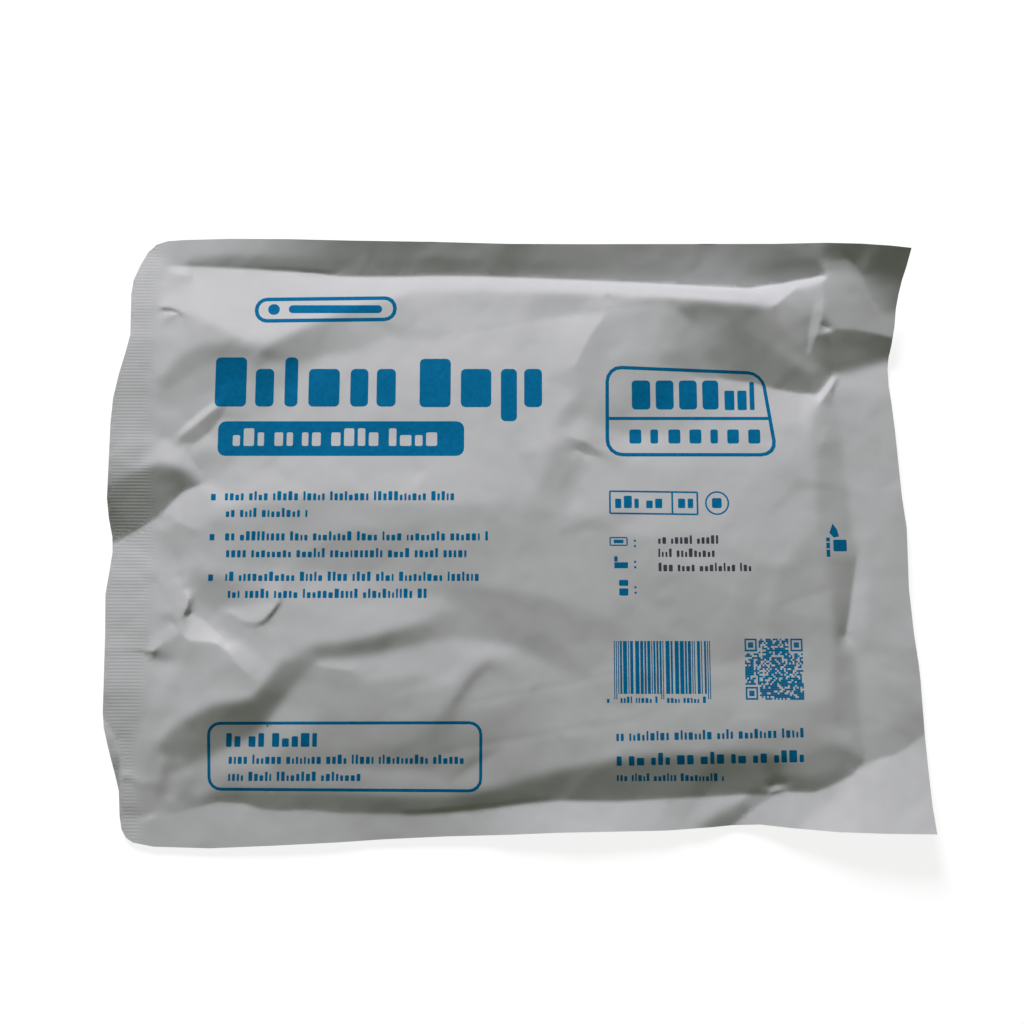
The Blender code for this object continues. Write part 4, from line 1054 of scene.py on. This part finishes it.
    def caution_box(self) -> None:
        """A rounded frame with a bold row over two light ones."""
        self.frame(((-101.4, -85), (-13.6, -85.6), (-13.6, -63), (-102.4, -63.2)), 4.2, 1.0)
        self.row(-96, -66, -71.2, 3.4)
        self.row(-95, -19, -76.6, 2.3)
        self.row(-95, -52, -82, 2.3)


def added(
    nodes: bpy.types.Nodes, kind: str, values: dict[str | int, object] | None = None, **settings: str
) -> bpy.types.Node:
    """Adds a shader node.

    Args:
        nodes: The node tree's nodes.
        kind: The node's type, without ShaderNode in front.
        values: Its inputs' values, by their name or number.
        settings: Its own settings, made before the inputs are set.

    Returns:
        The node.
    """
    node = nodes.new("ShaderNode" + kind)
    for key, setting in settings.items():
        setattr(node, key, setting)
    for key, value in (values or {}).items():
        node.inputs[key].default_value = value
    return node


@dataclass(frozen=True)
class PaperFinish:
    """White uncoated medical paper: short fibres, faint mottling and a soft, dull surface."""

    name: str = "pouch_paper"
    colour: Colour = (0.648, 0.650, 0.668)
    thin: Colour = (0.630, 0.633, 0.648)
    roughness: float = 0.62
    specular: float = 0.28
    mottle_scale: float = 260.0
    mottle_detail: float = 5.0
    mottle_range: tuple[float, float] = (0.35, 0.70)
    fibre_scale: float = 1900.0
    fibre_detail: float = 3.0
    bump: float = 0.10
    bump_height: float = 0.00006

    def material(self) -> bpy.types.Material:
        """Makes the material.

        Returns:
            The material, with all its detail from object coordinates.
        """
        made = bpy.data.materials.new(self.name)
        made.use_nodes = True
        nodes, links = made.node_tree.nodes, made.node_tree.links
        shader = nodes["Principled BSDF"]
        shader.inputs["Roughness"].default_value = self.roughness
        shader.inputs["Specular IOR Level"].default_value = self.specular
        low, high = self.mottle_range
        place = added(nodes, "TexCoord")
        mottle = added(nodes, "TexNoise", {"Scale": self.mottle_scale, "Detail": self.mottle_detail})
        spread = added(nodes, "MapRange", {"From Min": low, "From Max": high})
        tint = added(nodes, "Mix", {"A": (*self.thin, 1), "B": (*self.colour, 1)}, data_type="RGBA")
        fibre = added(nodes, "TexNoise", {"Scale": self.fibre_scale, "Detail": self.fibre_detail})
        bump = added(nodes, "Bump", {"Strength": self.bump, "Distance": self.bump_height})
        links.new(place.outputs["Object"], mottle.inputs["Vector"])
        links.new(place.outputs["Object"], fibre.inputs["Vector"])
        links.new(mottle.outputs["Fac"], spread.inputs["Value"])
        links.new(spread.outputs["Result"], tint.inputs["Factor"])
        links.new(tint.outputs["Result"], shader.inputs["Base Color"])
        links.new(fibre.outputs["Fac"], bump.inputs["Height"])
        links.new(bump.outputs["Normal"], shader.inputs["Normal"])
        return made


@dataclass(frozen=True)
class InkFinish(PaperFinish):
    """Thin matt ink that lets a little of the paper's mottling through."""

    name: str = "blue_print"
    colour: Colour = (0.0015, 0.152, 0.342)
    thin: Colour = (0.003, 0.188, 0.398)
    roughness: float = 0.7
    specular: float = 0.02
    mottle_scale: float = 700.0


@dataclass
class FrontWeb:
    """The folded front web with its print, as one finely meshed sheet with a cut edge."""

    relief: Relief
    ribs: SealRibs
    printed: PrintedFront
    name: str = "front_web"
    grid: float = 1.05
    edge_step: float = 0.9
    ink_step: float = 1.0
    crease_step: float = 0.8
    crease_beside: float = 0.5
    clear_of_others: float = 0.38
    clear_of_edge: float = 0.4
    grid_margin: float = 0.45
    rib_rows: int = 4
    rib_columns: float = 1.7
    rib_margin: float = 0.3
    rib_reach: float = 6.0
    ribs_end: float = 0.4
    ply: float = 0.15

    def plan(self) -> tuple[list[Vector], list[list[int]]]:
        """All points of the sheet's plan and the loops that its faces must respect.

        Returns:
            The points, and the loops as point numbers with the outline first.
        """
        outline = Outline(self.edge_step)
        points = [Vector(p) for p in outline.loop]
        loops = [list(range(len(points)))]
        for loop in self.printed.loops:
            closed = (*loop.points, loop.points[0])
            placed = stepped(closed, self.ink_step)[:-1]
            loops.append(list(range(len(points), len(points) + len(placed))))
            points += [Vector(p) for p in placed]
        for extra in (self.creases(outline), self.fill(outline)):
            taken = KDTree(len(points))
            for number, point in enumerate(points):
                taken.insert((*point, 0), number)
            taken.balance()
            points += [Vector(p) for p in extra if taken.find((*p, 0))[2] > self.clear_of_others]
        return points, loops

    def creases(self, outline: Outline) -> np.ndarray:
        """Points on and close beside every crisp fold, so that the mesh keeps its edge."""
        places = []
        for fold in self.relief.folds:
            if fold.edge is Edge.SOFT:
                continue
            line = stepped(fold.points, self.crease_step)[:, :2]
            ahead = np.gradient(line, axis=0)
            beside = np.column_stack([-ahead[:, 1], ahead[:, 0]]) / np.hypot(*ahead.T)[:, None]
            for side in (0, 1, -1):
                places.append(line + side * self.crease_beside * beside)
        every = np.vstack(places)
        cells = np.round(every / self.clear_of_others).astype(int)
        single = every[np.unique(cells, axis=0, return_index=True)[1]]
        return single[outline.inside(single[:, 0], single[:, 1], self.clear_of_edge)]

    def fill(self, outline: Outline) -> np.ndarray:
        """The sheet's inner points: an even grid, and close rows in the ribbed seal."""
        low, high = outline.loop.min(axis=0), outline.loop.max(axis=0)
        x, y = np.meshgrid(np.arange(low[0], high[0], self.grid), np.arange(low[1], high[1], self.grid))
        x = x + np.where(np.arange(len(x)) % 2, 0.5, 0.0)[:, None] * self.grid
        keep = outline.inside(x, y, self.grid_margin) & (x > self.ribs.inner_at(y) + self.ribs_end)
        even = np.column_stack([x[keep], y[keep]])
        step = self.ribs.pitch / self.rib_rows
        x, y = np.meshgrid(
            np.arange(low[0], self.ribs.inner_at(np.zeros(1))[0] + self.rib_reach, self.rib_columns),
            np.arange(math.floor(low[1] / step) * step, high[1], step),
        )
        keep = outline.inside(x, y, self.rib_margin) & (x <= self.ribs.inner_at(y) + self.ribs_end)
        return np.vstack([even, np.column_stack([x[keep], y[keep]])])

    def build(self, finishes: Sequence[bpy.types.Material]) -> bpy.types.Object:
        """Builds the sheet.

        Args:
            finishes: The paper and the inks, in the order of Ink's values.

        Returns:
            The finished piece.
        """
        plan, loops = self.plan()
        verts, _, faces, _, _, owners = delaunay_2d_cdt(plan, [], loops, 0, MERGE, True)
        places = np.array([(v.x, v.y) for v in verts])
        heights = self.relief.at(self.relief.front, places[:, 0], places[:, 1])
        heights += self.ribs.height_at(places[:, 0], places[:, 1])
        kept, printed = [], []
        for face, owner in zip(faces, owners):
            if 0 not in owner:
                continue
            kept.append(face)
            layers = {Ink.BLUE: 0, Ink.GREY: 0}
            for loop in (self.printed.loops[k - 1] for k in owner if k):
                layers[loop.ink] += loop.adds
            top = next((ink for ink, count in layers.items() if count > 0), Ink.NONE)
            printed.append(top.value)
        placed = Sight().placed(places, heights) - self.relief.middle()
        return sheet_piece(self.name, placed, heights, kept, printed, -self.ply, finishes)


@dataclass
class BackWeb:
    """The plain back web, flat on the table under the contents."""

    relief: Relief
    name: str = "back_web"
    grid: float = 2.2
    grid_margin: float = 0.8
    edge_step: float = 0.9
    ply: float = 0.15

    def build(self, finish: bpy.types.Material) -> bpy.types.Object:
        """Builds the sheet.

        Args:
            finish: The paper.

        Returns:
            The finished piece.
        """
        outline = Outline(self.edge_step)
        points = [Vector(p) for p in outline.loop]
        loop = list(range(len(points)))
        low, high = outline.loop.min(axis=0), outline.loop.max(axis=0)
        x, y = np.meshgrid(np.arange(low[0], high[0], self.grid), np.arange(low[1], high[1], self.grid))
        keep = outline.inside(x, y, self.grid_margin)
        points += [Vector(p) for p in zip(x[keep], y[keep])]
        verts, _, faces, _, _, owners = delaunay_2d_cdt(points, [], [loop], 0, MERGE, True)
        places = np.array([(v.x, v.y) for v in verts])
        front = self.relief.at(self.relief.front, places[:, 0], places[:, 1])
        heights = np.maximum(self.relief.at(self.relief.back, places[:, 0], places[:, 1]), 0)
        kept = [face[::-1] for face, owner in zip(faces, owners) if 0 in owner]
        placed = Sight().placed(places, front) - self.relief.middle()
        return sheet_piece(self.name, placed, heights, kept, [0] * len(kept), self.ply, [finish])


@dataclass(frozen=True)
class Sight:
    """Where the camera stands, in drawn millimetres, and the height that places were read at."""

    distance: float = 480.0
    tilt: float = 9.39
    aim: Point2 = (-4.07, 6.64)
    read_height: float = 8.0

    def eye(self) -> Point3:
        """The camera's place."""
        lean = math.radians(self.tilt)
        return (self.aim[0], self.aim[1] - self.distance * math.sin(lean), self.distance * math.cos(lean))

    def placed(self, places: np.ndarray, heights: np.ndarray) -> np.ndarray:
        """Moves places along their line of sight from the height they were read at to their own.

        Args:
            places: Rows of x and y as read in the photograph.
            heights: The paper's height at each of them.

        Returns:
            Rows of x and y on the real pouch.
        """
        eye = self.eye()
        share = (heights - self.read_height) / (eye[2] - self.read_height)
        return places + share[:, None] * (np.array(eye[:2]) - places)


def sheet_piece(
    name: str,
    places: np.ndarray,
    heights: np.ndarray,
    faces: Sequence[Sequence[int]],
    slots: Sequence[int],
    ply: float,
    finishes: Sequence[bpy.types.Material],
) -> bpy.types.Object:
    """Makes one web from its plan, with a narrow cut edge all round.

    The cut edge has points of its own, so that it doesn't bend the sheet's shading at the rim.

    Args:
        name: The piece's name.
        places: The points' plan places in millimetres.
        heights: The points' heights in millimetres.
        faces: Point numbers of each face.
        slots: Each face's place in the finishes.
        ply: Height of the cut edge, downwards where it is negative.
        finishes: The materials.

    Returns:
        The piece, linked to the scene.
    """
    sides = dict.fromkeys((a, b) for face in faces for a, b in zip(face, (*face[1:], face[0])))
    rim = [(a, b) for a, b in sides if (b, a) not in sides]
    ring = list(dict.fromkeys(point for side in rim for point in side))
    near = {a: len(places) + k for k, a in enumerate(ring)}
    coords = np.column_stack([places, heights])
    coords = np.vstack([coords, coords[ring], coords[ring] + (0, 0, ply)]) * MM
    walls = [(near[b], near[a], near[a] + len(ring), near[b] + len(ring)) for a, b in rim]
    mesh = bpy.data.meshes.new(name)
    mesh.from_pydata(coords.tolist(), [], [*faces, *walls])
    mesh.polygons.foreach_set("material_index", [*slots, *([0] * len(walls))])
    mesh.polygons.foreach_set("use_smooth", [True] * len(faces) + [False] * len(walls))
    for finish in finishes:
        mesh.materials.append(finish)
    mesh.update()
    piece = bpy.data.objects.new(name, mesh)
    bpy.context.scene.collection.objects.link(piece)
    LOG.info("%s: %d faces", name, len(mesh.polygons))
    return piece


@dataclass
class Studio:
    """The plain white table, one large soft lamp, a weak sky and the camera."""

    middle: np.ndarray
    focal_length: float = 50.26
    sensor_width: float = 36.0
    clip_start: float = 0.01
    key_bearing: float = 15.0
    key_rise: float = 33.0
    key_distance: float = 2.2
    key_size: float = 0.7
    key_level: float = 0.912
    key_colour: Colour = (1.02, 1.0, 1.055)
    sky_level: float = 0.092
    sky_colour: Colour = (0.86, 1.0, 0.62)
    table_size: float = 6.0
    table_grey: float = 0.30
    table_glow: float = 0.86
    table_drop: float = 0.0003

    def build(self) -> None:
        """Sets up the camera, the light and the table."""
        self.camera()
        self.key()
        self.sky()
        self.table()
        bpy.context.scene.view_settings.view_transform = "Standard"

    def camera(self) -> None:
        """The photograph's camera: nearly overhead, leaning towards the pouch's lower edge."""
        sight = Sight()
        lens = bpy.data.cameras.new("camera")
        lens.lens = self.focal_length
        lens.sensor_width = self.sensor_width
        lens.clip_start = self.clip_start
        lens.dof.use_dof = False
        eye = bpy.data.objects.new("camera", lens)
        place = np.array(sight.eye()) - (*self.middle, 0)
        eye.location = place * MM
        eye.rotation_euler = (math.radians(sight.tilt), 0, 0)
        bpy.context.scene.collection.objects.link(eye)
        bpy.context.scene.camera = eye

    def key(self) -> None:
        """The large soft lamp above the pouch's upper edge, a little to the left."""
        bearing, rise = math.radians(self.key_bearing), math.radians(self.key_rise)
        towards = Vector(
            (-math.sin(bearing) * math.cos(rise), math.cos(bearing) * math.cos(rise), math.sin(rise))
        )
        lamp = bpy.data.lights.new("key", "AREA")
        lamp.shape = "DISK"
        lamp.size = self.key_size
        lamp.color = self.key_colour
        lamp.energy = self.key_level * math.pi**2 * self.key_distance**2
        holder = bpy.data.objects.new("key", lamp)
        holder.location = towards * self.key_distance
        holder.rotation_euler = towards.to_track_quat("Z", "Y").to_euler()
        bpy.context.scene.collection.objects.link(holder)

    def sky(self) -> None:
        """A weak even light from all round, which the camera sees as plain white."""
        world = bpy.data.worlds.new("sky")
        world.use_nodes = True
        bpy.context.scene.world = world
        nodes, links = world.node_tree.nodes, world.node_tree.links
        weak = nodes["Background"]
        weak.inputs["Color"].default_value = (*self.sky_colour, 1)
        weak.inputs["Strength"].default_value = self.sky_level
        white = added(nodes, "Background", {"Color": (1, 1, 1, 1), "Strength": 1.0})
        path = added(nodes, "LightPath")
        choice = added(nodes, "MixShader")
        links.new(path.outputs["Is Camera Ray"], choice.inputs["Fac"])
        links.new(weak.outputs["Background"], choice.inputs[1])
        links.new(white.outputs["Background"], choice.inputs[2])
        links.new(choice.outputs["Shader"], nodes["World Output"].inputs["Surface"])

    def table(self) -> None:
        """A white table that keeps the pouch's soft shadow."""
        surface = bpy.data.materials.new("table")
        surface.use_nodes = True
        nodes, links = surface.node_tree.nodes, surface.node_tree.links
        nodes.remove(nodes["Principled BSDF"])
        matt = added(nodes, "BsdfDiffuse", {"Color": (self.table_grey,) * 3 + (1,)})
        glow = added(nodes, "Emission")
        path = added(nodes, "LightPath")
        seen, seen_too = (added(nodes, "Math", operation="MAXIMUM") for _ in range(2))
        strength = added(nodes, "Math", {1: self.table_glow}, operation="MULTIPLY")
        both = added(nodes, "AddShader")
        links.new(path.outputs["Is Camera Ray"], seen.inputs[0])
        links.new(path.outputs["Is Glossy Ray"], seen.inputs[1])
        links.new(seen.outputs[0], seen_too.inputs[0])
        links.new(path.outputs["Is Transmission Ray"], seen_too.inputs[1])
        links.new(seen_too.outputs[0], strength.inputs[0])
        links.new(strength.outputs[0], glow.inputs["Strength"])
        links.new(matt.outputs["BSDF"], both.inputs[0])
        links.new(glow.outputs["Emission"], both.inputs[1])
        links.new(both.outputs["Shader"], nodes["Material Output"].inputs["Surface"])
        half = self.table_size / 2
        corners = [(-half, -half, 0), (half, -half, 0), (half, half, 0), (-half, half, 0)]
        mesh = bpy.data.meshes.new("table")
        mesh.from_pydata(corners, [], [(0, 1, 2, 3)])
        mesh.materials.append(surface)
        top = bpy.data.objects.new("table", mesh)
        top.location.z = -self.table_drop
        bpy.context.scene.collection.objects.link(top)


def main() -> None:
    """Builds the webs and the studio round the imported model."""
    logging.basicConfig(level=logging.INFO, format="%(name)s: %(message)s")
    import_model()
    relief = Relief(FOLDS)
    paper = PaperFinish().material()
    blue = InkFinish().material()
    grey = InkFinish("grey_print", colour=GREY_INK, thin=GREY_INK_THIN).material()
    front = FrontWeb(relief, SealRibs(), PrintedFront()).build((paper, blue, grey))
    back = BackWeb(relief).build(paper)
    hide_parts("sealed_pouch")
    for piece in (front, back):
        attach(piece, "root")
    Studio(relief.middle()).build()


if __name__ == "__main__":
    main()
